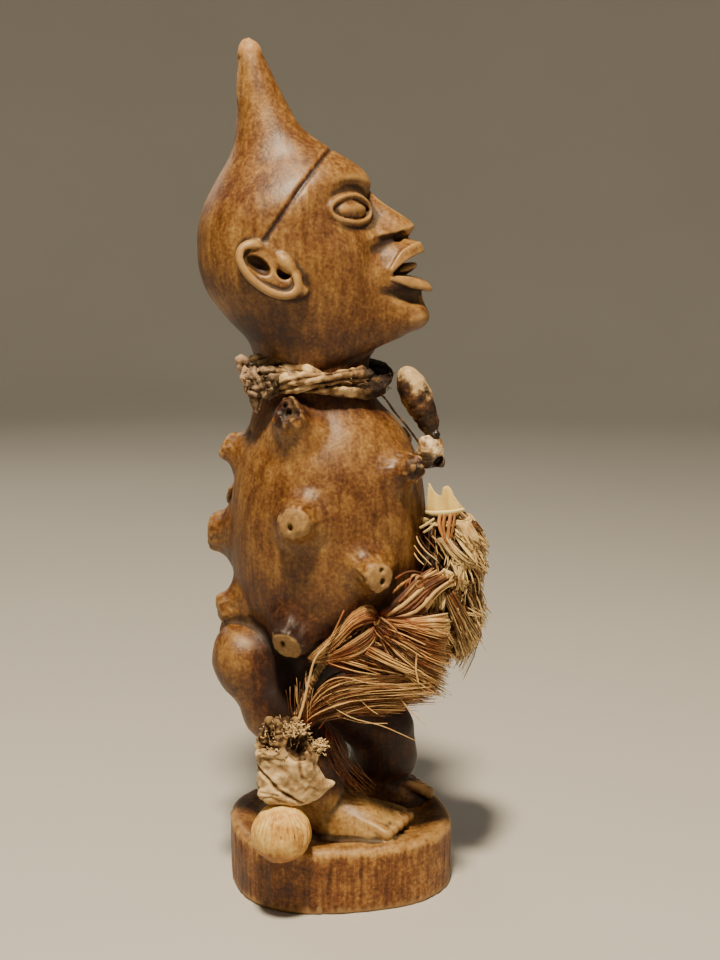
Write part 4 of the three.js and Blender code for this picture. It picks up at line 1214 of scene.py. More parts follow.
def tube(path, wide, thick, turns, sides, ragged, seed, closed=True, lines=5, fold=0.11):
    """A wrinkled strand round a path. Its section turns as it goes, and its skin is creased lengthwise."""
    k = len(path)
    ahead = unit(np.roll(path, -1, 0) - np.roll(path, 1, 0)) if closed else unit(np.gradient(path, axis=0))
    side = unit(np.cross(ahead, [0.03, 0.02, 1.0]))
    up = np.cross(side, ahead)
    t = np.arange(k) / k
    w = np.broadcast_to(wide, k)[:, None]
    h = np.broadcast_to(thick, k)[:, None]
    local = TAU * np.arange(sides)[None, :] / sides
    crease = 1 - fold * np.maximum(np.cos(lines * local + 3 * np.sin(TAU * t * 3 + seed)[:, None]), 0) ** 2
    x = w * np.cos(local) * crease
    y = h * np.sin(local) * crease
    c, s = np.cos(turns * t * TAU)[:, None], np.sin(turns * t * TAU)[:, None]
    across, over = (c * x - s * y)[..., None], (s * x + c * y)[..., None]
    points = path[:, None] + side[:, None] * across + up[:, None] * over
    away = unit(points - path[:, None])
    rough = layered(points, 2.6, seed, 3)
    points = points + away * (ragged * rough)[..., None]
    index = np.arange(k * sides).reshape(k, sides)
    ahead_rows = np.roll(index, -1, 0) if closed else index[1:]
    rows = index if closed else index[:-1]
    walls = np.stack([rows, ahead_rows, np.roll(ahead_rows, -1, 1), np.roll(rows, -1, 1)], -1).reshape(-1, 4)
    loops, sizes = [walls.ravel()], [np.full(len(walls), 4)]
    if not closed:
        loops += [index[0], index[-1, ::-1]]
        sizes += [np.array([sides]), np.array([sides])]
    facts = dict(
        tone=np.repeat(0.5 + 0.5 * noise(path, 9, seed + 3), sides),
        # along drops in the creases, so they are painted darker: painted shade.
        along=(0.5 + 0.5 * rough - 0.6 * (1 - crease) / fold).ravel(),
    )
    points = points.reshape(-1, 3)
    return dict(points=points, loops=np.concatenate(loops), sizes=np.concatenate(sizes), facts=facts)


def lump(centre, reach, step, build, detail, smooth_times):
    """A small sculpted body: build(clay) models it, and detail(points, normal) pushes its skin out or in."""
    centre, reach = np.array(centre, float), np.array(reach, float)
    clay = Clay(centre - reach, centre + reach, step)
    build(clay)
    points, faces = clay.skin()
    normal = corner_normals(points, faces)
    points = points + normal * detail(points, normal)[:, None]
    normal = corner_normals(points, faces)
    bend = rounding(points, faces, normal) / step
    hollow = np.clip(spread(bend, faces, smooth_times) * 10, -1, 1)
    # along holds the hollowness, so the cloth paint darkens hollows: painted shade.
    facts = dict(tone=0.5 + 0.5 * noise(points, 6, 71), along=hollow * 0.5 + 0.5, hollow=hollow)
    return dict(points=points, loops=faces.ravel(), sizes=np.full(len(faces), 4), facts=facts)


def fibre_paint(name, dark, middle, pale, tip=0.75, root=None):
    """Dry plant fibre, paler from tip on along each strand, and of the colour root at its start."""
    p = Paint(name, Specular_IOR_Level=0.3)
    tone, along = p.fact("tone"), p.fact("along")
    fine = p.noise(700, 3)
    mottle = p.noise(220, 2)
    share = p.weigh((tone, 0.74), (mottle, 0.35), (along, 0.26), (fine, 0.14))
    colour = p.ramp(share, (0.34, dark), (0.66, middle), (1.02, pale))
    warm = p.math("MULTIPLY", p.between(p.noise(95, 2), 0.50, 0.60), 0.55)
    colour = p.mix(warm, colour, (1.0, 0.66, 0.42), "MULTIPLY")
    ends = p.between(p.weigh((along, 1.0), (tone, 0.25)), tip, tip + 0.35)
    colour = p.cover(ends, 0.6, colour, pale)
    if root:
        start = p.between(p.weigh((along, 1.0), (fine, 0.3)), 0.42, 0.20)
        colour = p.cover(start, 0.75, colour, root)
    height = p.weigh((p.noise(2400, 2), 0.6), (fine, 0.6))
    return p.finish(colour, p.between(fine, 0.2, 0.8, 0.50, 0.77), height, 0.00010)


def cloth_paint(name, dark, middle, pale):
    p = Paint(name, Specular_IOR_Level=0.2, Sheen_Weight=0.06)
    tone, along = p.fact("tone"), p.fact("along")
    fine = p.noise(900, 4, rough=0.65)
    mottle = p.noise(160, 3)
    share = p.weigh((along, 0.50), (mottle, 0.34), (tone, 0.26), (fine, 0.20))
    colour = p.ramp(share, (0.36, dark), (0.60, middle), (0.88, pale))
    threads = p.cells(1500, (1, 1, 0.45))
    height = p.weigh((fine, 1.0), (threads, 0.7), (p.noise(3200, 2), 0.4))
    return p.finish(colour, p.between(fine, 0.2, 0.8, 0.84, 1.0), height, 0.00022)


# Neck cloth, nape knot, pod and shell

def make_neck_cloth(material):
    steps = 300
    a = TAU * np.arange(steps) / steps
    ring = np.stack([-7.6 + 21.0 * np.cos(a), 19.2 * np.sin(a), 185.4 - 1.8 * np.cos(a)], -1)
    out = unit(np.stack([np.cos(a), np.sin(a) * 1.1, 0 * a], -1))
    up = np.array([0, 0, 1.0])
    parts = []
    for j, (offset, radius) in enumerate([(0.3, 3.1), (2.3, 2.9), (4.4, 3.0)]):
        phase = offset + a + 0.7 * np.sin(2 * a + 1.4 * j)
        away = 2.5 + 0.4 * np.sin(5 * a + 2 * j)
        path = ring + out * (away * np.cos(phase))[:, None] + up * (away * 1.15 * np.sin(phase))[:, None]
        width = radius * (1 + 0.12 * np.sin(3 * a + 1.3 * j) + 0.07 * np.sin(8 * a + j))
        parts.append(tube(path, width, width * 0.72, 2, 26, 0.42, 40 + j, lines=3 + j % 2, fold=0.26))
    luck = np.random.default_rng(11)
    count = 90
    start = luck.integers(0, steps, count)
    base = ring[start] + out[start] * luck.uniform(3.0, 5.0, (count, 1))
    base = base + up * luck.uniform(-3.5, 3.5, (count, 1))
    ahead = unit(np.roll(ring, -1, 0) - ring)[start] * luck.choice([-1, 1], (count, 1))
    tips = base + ahead * luck.uniform(1.5, 5, (count, 1))
    tips = tips + out[start] * luck.uniform(0.0, 0.6, (count, 1)) + luck.normal(size=(count, 3)) * 0.6
    paths = bent_paths(luck, base, tips, 0.3)
    parts.append(strand_mesh(paths, 0.16, 0.10, up, luck.random(count), 3))
    part = merged(parts)
    # The strands darken towards the front of the neck.
    darkening = smooth_step(3, 11, part["points"][:, 0] + 0.5 * (part["points"][:, 1] + 14))
    for key, least in (("tone", 0.005), ("along", 0.01)):
        part["facts"][key] = part["facts"][key] * (1 - 0.75 * darkening) + least * darkening
    piece_of("neck_wrap", part, material, "neck_cloth")


NAPE = (-25.5, -16.5, 184.4)


def make_nape_knot(material):
    def build(clay):
        c = np.array(NAPE, float)
        clay.join(c, 13, ellipsoid(c, (7.0, 5.8, 5.7), (10, 20, 0)), 1)
        clay.join(c, 16, ellipsoid(c + (2.5, -2.2, 2.2), (4.4, 3.4, 2.8), (0, 30, 20)), 0.8)
        clay.join(c, 16, ellipsoid(c + (-1.0, -3.0, -1.6), (4.6, 3.0, 2.6), (0, -20, 10)), 0.8)
        clay.join(c, 18, rod(c + (-5.6, 0.6, -3.4), c + (-7.4, 1.4, 6.6), 1.5, 2.2), 0.6)
        clay.join(c, 18, rod(c + (-3.0, -1.5, -2.5), c + (-2.6, -1.6, -9.0), 2.6, 1.5), 0.8)
        clay.join(c, 18, rod(c + (2, 0, 0), c + (8.5, -2.5, 1.5), 3.6, 2.8), 1.2)

    def detail(points, normal):
        fold = smooth_step(0.80, 1.0, 1 - np.abs(noise(points * (1, 1, 0.7), 5.0, 51)))
        return 0.7 * layered(points, 4.2, 52, 3) - 1.3 * fold + 0.35 * layered(points, 1.5, 53, 2)

    parts = [lump(NAPE, (18, 14, 16), 0.42, build, detail, 4)]
    luck = np.random.default_rng(12)
    count = 90
    way = unit(luck.normal(size=(count, 3)) * (1, 0.8, 1) + (-0.5, -0.6, 0))
    base = np.array(NAPE) + way * (6.2, 5.0, 5.2) + luck.normal(size=(count, 3)) * 0.8
    turn = np.cross(way, unit(luck.normal(size=(count, 3))))
    tips = base + way * luck.uniform(0.4, 1.6, (count, 1)) + turn * luck.uniform(0.6, 3.0, (count, 1))
    paths = along_path(np.stack([base - way * 1.4, base, tips], 1), 6)
    broad = np.where(luck.random(count) < 0.45, luck.uniform(0.5, 1.1, count), luck.uniform(0.10, 0.2, count))
    parts.append(strand_mesh(paths, broad[:, None], 0.13, None, luck.random(count), 4, way))
    part = merged(parts)
    rag = smooth_step(-30.2, -32.0, part["points"][:, 0])
    part["facts"]["tone"] = part["facts"]["tone"] * 0.6 + 0.7 * rag
    part["facts"]["along"] = part["facts"]["along"] * (0.9 + 0.4 * rag)
    piece_of("nape_rag", part, material, "nape_knot")


# The pod's ends, its radius at shares of its length, and the thin cord's way from the neck to the shell
POD = dict(top=(24.2, -3.2, 184.6), foot=(32.8, -4, 165.0))
POD_RADII = [(0.0, 3.9), (0.14, 4.9), (0.36, 5.2), (0.6, 4.6), (0.82, 3.5), (1.0, 2.4)]
POD_CORD = [
    (13.5, -11, 180.5), (16.6, -8, 176.9), (19.2, -6.5, 173.0), (23.4, -5.6, 167.9), (28.0, -5.4, 161.8),
]


def make_pod(material):
    top, foot = np.array(POD["top"]), np.array(POD["foot"])
    axis = foot - top

    def build(clay):
        middle = (top + foot) / 2
        for (t0, r0), (t1, r1) in zip(POD_RADII[:-1], POD_RADII[1:]):
            clay.join(middle, 22, rod(top + axis * t0, top + axis * t1, r0, r1), 1.5)
        for s in (-1, 1):
            clay.join(foot, 8, ellipsoid(foot + (0.8, s * 1.9, -0.8), (1.9, 1.7, 2.2)), 0.5)
        clay.carve(foot, 8, rod(foot + (-4, 0, -2.6), foot + (6, 0, -2.6), 0.6, 0.6), 0.4)

    def detail(points, normal):
        t = (points - top) @ axis / (axis @ axis)
        seam = np.abs(points[:, 1] + 3.6 + 0.7 * np.sin(t * 5))
        cut = np.exp(-((seam / 0.5) ** 2)) * (normal[:, 0] > 0)
        dents = smooth_step(0.72, 1.0, 1 - np.abs(noise(points, 3.6, 62))) * smooth_step(0.25, 0.6, t)
        return 0.30 * layered(points, 3.6, 61, 3) - 0.45 * cut - 0.4 * dents

    part = lump((28, -4, 175), (12, 10, 18), 0.4, build, detail, 6)
    part["facts"]["tone"] = (part["points"] - top) @ axis / (axis @ axis)
    across = np.cross(axis / np.linalg.norm(axis), (0, -1.0, 0))
    part["facts"]["along"] = (part["points"] - top) @ across / 6.0
    cord = tube(along_path(POD_CORD, 60), 0.42, 0.42, 9, 8, 0.10, 64, closed=False, lines=2, fold=0.3)
    cord["facts"] = dict(tone=np.full(len(cord["points"]), 2.0))
    piece_of("chest_charm", merged([part, cord]), material, "chest_pod")


def pod_paint():
    p = Paint("worn_pod", Specular_IOR_Level=0.4)
    drop, side = p.fact("tone"), p.fact("along")
    mottle = p.noise(210, 4, rough=0.62)
    fine = p.noise(900, 3)
    colour = p.ramp(
        p.weigh((mottle, 0.7), (fine, 0.3)), (0.40, (0.010, 0.005, 0.003)), (0.52, (0.055, 0.022, 0.008)),
        (0.62, (0.17, 0.075, 0.025)), (0.74, (0.33, 0.17, 0.06)),
    )
    cream = p.mix(fine, (0.36, 0.21, 0.085), (0.74, 0.54, 0.28))
    # Patchy cream on the pod's upper part: a painted highlight from above.
    top_highlight = p.between(p.weigh((drop, -1.1), (mottle, 1.6), (side, -0.50)), 0.60, 0.90)
    colour = p.cover(top_highlight, 0.9, colour, cream)
    from_middle = p.math("ABSOLUTE", p.math("SUBTRACT", drop, 0.45))
    rim = p.between(p.weigh((side, 1.0), (mottle, 1.2), (from_middle, -0.9)), 1.05, 1.45)
    colour = p.cover(rim, 0.8, colour, (0.42, 0.22, 0.06))
    height = p.weigh((fine, 1.0), (mottle, 0.5))
    return p.finish(colour, p.between(mottle, 0.2, 0.8, 0.36, 0.7), height, 0.00016)


SHELL = dict(place=(32.0, -5, 158.3), radii=(4.7, 4.4, 6.2), mouth=(34.6, -7.6, 155.0))


def make_shell(material):
    place = np.array(SHELL["place"])

    def build(clay):
        clay.join(place, 12, ellipsoid(place, SHELL["radii"], (0, 24, 0)), 0)
        clay.join(place, 12, ellipsoid(place + (-0.8, 0.4, 3.2), (3.4, 3.2, 2.9)), 1.2)
        clay.join(place, 12, ellipsoid(np.array(SHELL["mouth"]) + (-0.2, 1.0, 0), (2.9, 2.0, 3.3)), 1.0)
        clay.carve(SHELL["mouth"], 7, ellipsoid(SHELL["mouth"], (1.4, 2.4, 2.6), (0, 40, 0)), 0.4)
        clay.carve(place + (1.5, -2, -5.6), 7, ellipsoid(place + (2.2, -3.0, -6.4), (3.2, 3.0, 1.8)), 0.6)

    def detail(points, normal):
        d = points - place
        away = np.sqrt((d[:, 0] + 1.5) ** 2 + (d[:, 2] - 4) ** 2)
        return 0.05 * np.cos(away * 5.2) + 0.08 * layered(points, 3.0, 63, 2)

    part = lump(SHELL["place"], (10, 9, 11), 0.32, build, detail, 4)
    part["facts"]["tone"] = (part["points"][:, 2] - place[2]) / SHELL["radii"][2]
    piece_of("chest_snail", part, material, "chest_shell")


def shell_paint():
    p = Paint("old_shell", Coat_Weight=0.12, Coat_Roughness=0.3)
    mottle = p.noise(260, 3)
    bands = p.noise(500, 2, stretch=(1, 0.3, 1))
    fine = p.noise(1400, 2)
    hollow = p.fact("hollow")
    colour = p.ramp(
        p.weigh((mottle, 0.6), (bands, 0.4)),
        (0.40, (0.16, 0.085, 0.035)), (0.50, (0.44, 0.28, 0.13)), (0.62, (0.80, 0.64, 0.40)),
    )
    # Darker towards the bottom of the shell.
    darkening = p.between(p.weigh((p.fact("tone"), 1.0), (mottle, 1.1)), 0.72, 0.25)
    colour = p.cover(darkening, 0.9, colour, (0.035, 0.015, 0.007))
    # Darker in hollows and in the mouth: painted shade.
    colour = p.mix(p.between(hollow, -0.05, -0.5), colour, (0.02, 0.010, 0.006))
    height = p.weigh((fine, 1.0), (bands, 0.6))
    return p.finish(colour, p.between(mottle, 0.2, 0.8, 0.3, 0.6), height, 0.00010)


# The belly packet and its leaf

PACKET = dict(x=38.0, y=-4, low=83.5, high=138)

# Half-depth and half-width at shares of the packet's height
PACKET_ROWS = [
    (0, 6, 8), (0.06, 9.5, 13), (0.2, 12, 17), (0.34, 13.2, 17.5), (0.46, 11.5, 15.5),
    (0.62, 13.8, 18), (0.8, 12.8, 16.5), (0.94, 9, 12.5), (1, 5.5, 8),
]


def packet_height(share):
    return PACKET["low"] + (PACKET["high"] - PACKET["low"]) * share


def packet_point(share, angle, size):
    """A place round the packet at a share of its height, with the size of the ring it is on."""
    deep, wide = curve_through(PACKET_ROWS)(share)
    x = PACKET["x"] + deep * size * np.cos(angle)
    y = PACKET["y"] + wide * size * np.sin(angle)
    return np.stack([x, y, packet_height(share)], -1)


def in_trunk(points, margin):
    g = girth(points[..., 2])
    a, b = TRUNK["deep"] * g + margin, TRUNK["wide"] * g + margin
    return ((points[..., 0] - TRUNK["x"]) / a) ** 2 + (points[..., 1] / b) ** 2 < 1


# Single strips over the hollow at the packet's top and across its middle: way, half-width and tone
UPPER_STRIPS = [
    ([(28.0, -18.5, 133.6), (30.3, -19.6, 135.2), (33.0, -19.4, 137.2)], 0.7, 0.95),
    ([(29.2, -18.5, 131.9), (31.4, -19.8, 133.8), (33.4, -19.6, 135.8)], 0.6, 0.9),
    ([(26.9, -17.0, 130.5), (27.9, -18.8, 128.3), (30.4, -19.6, 125.3), (33.3, -19.8, 123.1),
      (34.8, -19.6, 121.3)], 0.34, 0.85),
    ([(26.1, -16.5, 127.2), (28.2, -18.4, 124.6), (30.4, -19.2, 122.4), (32.2, -19.6, 120.6)], 0.30, 0.8),
    ([(29.4, -17.6, 131.0), (31.9, -19.6, 128.4), (34.4, -20.4, 125.4), (36.3, -20.2, 122.8)], 0.28, 0.35),
    ([(31.8, -18.2, 131.2), (34.3, -20.2, 129.0), (36.5, -20.8, 125.3), (37.6, -20.4, 122.5)], 0.5, 0.6),
    ([(26.0, -16.4, 124.6), (27.6, -18.0, 122.4), (29.6, -18.8, 120.6)], 0.3, 0.9),
    ([(27.8, -17.4, 130.8), (29.4, -18.8, 128.0), (31.8, -19.6, 125.4), (34.2, -19.8, 123.0)], 0.22, 0.1),
]
MIDDLE_STRIPS = [
    ([(29.4, -21.5, 113.6), (32.5, -23.2, 116.5), (36.8, -22.8, 120.0)], 0.9, 0.55),
    ([(30.4, -21.8, 112.6), (33.4, -23.4, 115.2), (37.6, -23.0, 118.4)], 0.8, 0.15),
    ([(35.8, -22.8, 119.6), (39.4, -22.6, 117.9), (44.6, -19.5, 114.2)], 1.2, 1.0),
    ([(35.6, -22.8, 118.2), (39.2, -22.4, 116.6), (43.8, -19.6, 113.2)], 0.8, 0.75),
    ([(29.0, -22.0, 112.0), (34.6, -24.2, 114.2), (39.6, -23.0, 114.6)], 1.1, 0.8),
]

# The packet's slanting band, pale lobes, cut stubs and hanging sticks. Each row is sheaf's values in its
# order: count, guides, ranges of half-width and half-thickness, looseness, steps, cut, curl, tones, flat.
PACKET_SHEAVES = [
    (60, [
        [(35.0, -20.0, 130.4), (38.0, -21.6, 126.0), (41.2, -21.2, 122.6), (44.2, -19.0, 119.8)],
        [(38.4, -20.0, 130.0), (40.8, -20.4, 126.4), (44.2, -18.0, 123.0), (47.6, -14.0, 120.6)],
    ], (0.25, 0.6), (0.08, 0.14), (0.4, 0.6), 9, 0.2, 0.4, (0.3, 1.0), 0.8),
    (46, [
        [(41.6, -17.6, 134.6), (43.4, -18.0, 130.0), (43.8, -18.2, 126.0), (44.0, -17.8, 122.8)],
        [(45.4, -13.0, 134.2), (48.0, -13.4, 130.2), (48.8, -12.6, 125.8), (48.6, -11.4, 122.0)],
    ], (0.4, 0.9), (0.08, 0.14), (0.4, 0.6), 9, 0.2, 0.3, (0.75, 1.0), 0.8),
    (16, [
        [(31.0, -22.6, 112.6), (31.2, -24.0, 109.6), (31.4, -24.2, 107.4)],
        [(36.6, -22.6, 111.6), (36.4, -24.0, 108.0), (36.2, -24.0, 105.4)],
    ], (0.35, 0.6), (0.2, 0.3), (0.3, 0.5), 6, 0.3, 0.2, (0.85, 1.0), 0.8),
    (90, [
        [(36.4, -22.6, 111.4), (39.6, -23.2, 103.6), (42.6, -22.4, 95.0), (45.4, -20.6, 86.6)],
        [(39.0, -22.0, 111.6), (43.0, -21.4, 104.6), (47.0, -19.0, 97.6), (50.4, -15.0, 91.0)],
    ], (0.16, 0.42), (0.10, 0.16), (0.5, 1.1), 9, 0.35, 0.4, (0.1, 1.0), 0.6),
]


def make_packet(material):
    luck = np.random.default_rng(21)

    def build(clay):
        for share in np.linspace(0.12, 0.92, 9):
            deep, wide = (float(v[0]) for v in curve_through(PACKET_ROWS)(np.array([share])))
            centre = (PACKET["x"], PACKET["y"], packet_height(share))
            clay.join(centre, 24, ellipsoid(centre, (deep * 0.74, wide * 0.76, 6)), 3)
        clay.carve((30.5, -16, 125.4), 10, ellipsoid((30.6, -16, 125.4), (5.6, 5.0, 6.4)), 1)

    core = lump((38, -4, 111), (20, 24, 34), 0.9, build, lambda p, n: 1.2 * layered(p, 3, 81, 3), 2)
    core["facts"]["tone"] = core["facts"]["tone"] * 0.15
    core["facts"]["along"] = core["facts"]["along"] * 0.1
    parts = [core]

    def layer(count, begin, end, sizes, swing, wide, tone):
        """Cut strips in clumps of three. begin is where they start and end how far they hang down, both in
        shares of the packet's height, and sizes is the range of rings that they lie on."""
        clumps = count // 3
        n = clumps * 3

        def each(values):
            return np.repeat(values, 3)

        angle = each(luck.uniform(-2.3, 2.0, clumps)) + luck.normal(size=n) * 0.07
        s0 = each(luck.uniform(*begin, clumps)) + luck.normal(size=n) * 0.012
        s1 = s0 - each(luck.uniform(*end, clumps)) * luck.uniform(0.8, 1.15, n)
        last = angle + each(luck.normal(size=clumps) * 0.30 + swing)
        out = [each(luck.uniform(*sizes, clumps)) + luck.normal(size=n) * 0.045 for _ in range(3)]
        stations = []
        for t, size in zip((0.0, 0.5, 1.0), (out[0] * 0.80, out[1] * 0.98, out[2] * 1.09)):
            s = s0 + (s1 - s0) * t
            at = packet_point(np.clip(s, 0, 1), angle + (last - angle) * t, size)
            at[:, 2] = packet_height(s)
            stations.append(at)
        lines = np.stack(stations, 1)
        middle = lines[:, 1]
        over_hollow = (middle[:, 0] < 36) & (middle[:, 1] < -9) & (np.abs(middle[:, 2] - 125) < 5.5)
        lines = lines[~in_trunk(lines[:, 2], 0.5) & ~in_trunk(middle, 0.3) & ~over_hollow]
        n = len(lines)
        paths = along_path(lines, 7)
        away = unit((paths[:, 3] - (PACKET["x"], PACKET["y"], 0)) * (1, 1, 0) + luck.normal(size=(n, 3)) * 3)
        w = luck.uniform(*wide, n)[:, None] * (1 - 0.4 * np.linspace(0, 1, 7) ** 2)
        tones = tone[0] + (tone[1] - tone[0]) * luck.random(n) ** 1.6
        parts.append(strand_mesh(paths, w, 0.07 + w * 0.16, None, tones, 4, away))

    layer(420, (0.62, 0.98), (0.10, 0.24), (0.80, 0.95), 0.25, (0.16, 0.42), (0.0, 0.55))
    layer(330, (0.66, 1.0), (0.12, 0.26), (0.90, 1.06), 0.30, (0.20, 0.74), (0.2, 1.2))
    layer(520, (0.30, 0.56), (0.18, 0.40), (0.74, 0.92), 0.15, (0.14, 0.40), (0.0, 0.5))
    layer(380, (0.36, 0.62), (0.18, 0.46), (0.86, 1.06), 0.22, (0.16, 0.60), (0.05, 1.15))
    layer(120, (0.10, 0.80), (0.04, 0.10), (1.00, 1.12), 0.10, (0.12, 0.34), (0.6, 1.1))

    steps = 10
    taper = 1 - 0.35 * np.linspace(0, 1, steps) ** 3
    for strips, thick in ((UPPER_STRIPS, 0.12), (MIDDLE_STRIPS, 0.3)):
        lines, half, tone = zip(*strips)
        paths = np.stack([along_path(line, steps) for line in lines])
        half = np.array(half)[:, None] * taper
        parts.append(strand_mesh(paths, half, thick, None, tone, 4, (0.1, -1, 0.1)))
    parts += [sheaf(luck, *row) for row in PACKET_SHEAVES]
    for number, share in enumerate((0.55, 0.93)):
        turns = 2
        t = np.linspace(0, turns * TAU, 90)
        path = packet_point(np.full(90, share) + 0.03 * (t / TAU / turns - 0.5), t, 0.93)
        path += 0.5 * np.stack([noise(path, 4, 90 + number + k) for k in range(3)], -1)
        inside = in_trunk(path, 1.0)
        path[inside, 0] = np.maximum(path[inside, 0], 24)
        parts.append(tube(path, 0.75, 0.6, 12, 8, 0.12, 95 + number, closed=False))
    piece_of("belly_bundle", merged(parts), material, "belly_packet")


# The leaf's torn blade: x, lower edge and upper edge. Its bars: way, half-width and tone
LEAF_ROWS = [
    (30.3, 138.1, 139.3), (31.0, 137.9, 149.2), (31.7, 138.0, 148.0), (32.6, 138.2, 146.4),
    (33.8, 138.2, 145.0), (35.0, 138.1, 144.3), (35.55, 138.0, 144.3), (35.8, 138.0, 147.0),
    (36.6, 138.0, 147.8), (37.8, 138.0, 147.8), (38.8, 138.0, 146.6), (39.8, 138.1, 144.4),
    (41.2, 138.3, 142.3), (42.6, 138.5, 140.6), (43.4, 138.7, 139.4),
]
LEAF_BARS = [
    ([(30.0, -15.8, 138.9), (33.4, -16.5, 138.4), (38.4, -16.5, 138.7), (43.6, -14.0, 139.4)], 0.85, 0.95),
    ([(32.8, -15.2, 137.9), (36.4, -15.9, 137.7), (42.6, -14.0, 138.2)], 0.45, 0.70),
]

# Red-brown ribbons that hang from the leaf: way, half-width and tone
LEAF_RIBBONS = [
    ([(35.2, -16.4, 138.4), (34.7, -19.2, 134.6), (36.6, -20.6, 129.4)], 0.80, 0.34),
    ([(36.9, -16.6, 138.4), (36.1, -19.8, 134.2), (37.2, -21.0, 128.6)], 0.75, 0.22),
    ([(38.9, -16.4, 138.4), (38.0, -19.6, 134.4), (37.7, -20.8, 128.8)], 0.85, 0.30),
    ([(40.4, -15.8, 138.4), (39.6, -19.0, 135.0), (38.6, -20.4, 130.6)], 0.55, 0.16),
]


def make_leaf(material):
    x, low, high = (np.array(v) for v in zip(*LEAF_ROWS))
    columns = np.linspace(x[0], x[-1], 60)
    levels = np.linspace(0, 1, 16)
    bottom, top = np.interp(columns, x, low)[:, None], np.interp(columns, x, high)[:, None]
    z = bottom + (top - bottom) * levels
    across = np.broadcast_to(columns[:, None], z.shape)
    bow = -15.4 + 0.030 * (across - 35) ** 2 + 0.05 * np.maximum(z - 138, 0) ** 1.5 / 3
    bow = bow + 0.25 * np.sin(across * 1.1 + z * 0.4)
    sheet = np.stack([across + 0.02 * (z - 138), bow, z], -1)
    half = 0.5 * (columns[1] - columns[0]) + 0.03
    parts = []
    for column in range(len(columns) - 1):
        strip = sheet[column:column + 2].mean(0)[None]
        tone = 0.74 + 0.06 * math.sin(column * 0.55)
        parts.append(strand_mesh(strip, half, 0.20, (1, 0, 0), [tone], 4))
    for stations, half, tone in LEAF_BARS:
        swell = 1 - 0.25 * np.cos(np.linspace(0, TAU, 16))
        path = along_path(stations, 16)[None]
        parts.append(strand_mesh(path, (half * swell)[None], 0.42, (0, -0.3, 1), [tone], 8))
    for stations, half, tone in LEAF_RIBBONS:
        taper = 1 - 0.4 * np.linspace(0, 1, 12)
        path = along_path(stations, 12)[None]
        parts.append(strand_mesh(path, (half * taper)[None], 0.16, None, [tone], 6, (0.1, -1, 0)))
    piece_of("folded_leaf", merged(parts), material, "pale_leaf")


def leaf_paint():
    p = Paint("dry_leaf", Specular_IOR_Level=0.35)
    tone = p.fact("tone")
    lines = p.noise(1100, 2, stretch=(1, 1, 0.15))
    mottle = p.noise(240, 3)
    share = p.weigh((tone, 0.80), (lines, 0.18), (mottle, 0.22))
    colour = p.ramp(
        share, (0.36, (0.26, 0.095, 0.022)), (0.56, (0.55, 0.24, 0.065)),
        (0.74, (0.82, 0.56, 0.16)), (0.98, (0.92, 0.74, 0.30)),
    )
    height = p.weigh((lines, 1.0), (mottle, 0.4))
    return p.finish(colour, p.between(mottle, 0.2, 0.8, 0.5, 0.72), height, 0.00012)


# Hip cord, feather tufts and wisps

HIP_CORD = [
    (27, -20.4, 108.6), (21, -24.8, 105.6), (13.5, -28.2, 102.4), (5, -29.4, 97), (-3, -29.6, 91),
    (-8, -29, 84), (-11, -29.2, 77), (-14.5, -32.0, 70.5),
]


def make_hip_cord(material):
    path = along_path(HIP_CORD, 120)
    ahead = unit(np.gradient(path, axis=0))
    side = unit(np.cross(ahead, (0, 0, 1)))
    up = np.cross(side, ahead)
    parts = []
    for j in range(3):
        a = np.linspace(0, 11 * TAU, 120) + j * TAU / 3
        strand = path + 0.72 * (side * np.cos(a)[:, None] + up * np.sin(a)[:, None])
        parts.append(tube(strand, 0.74, 0.74, 4, 8, 0.10, 110 + j, closed=False))
    piece_of("hip_cord_twist", merged(parts), material, "hip_cord")


KNOT = np.array((13.4, -30.6, 103.8))


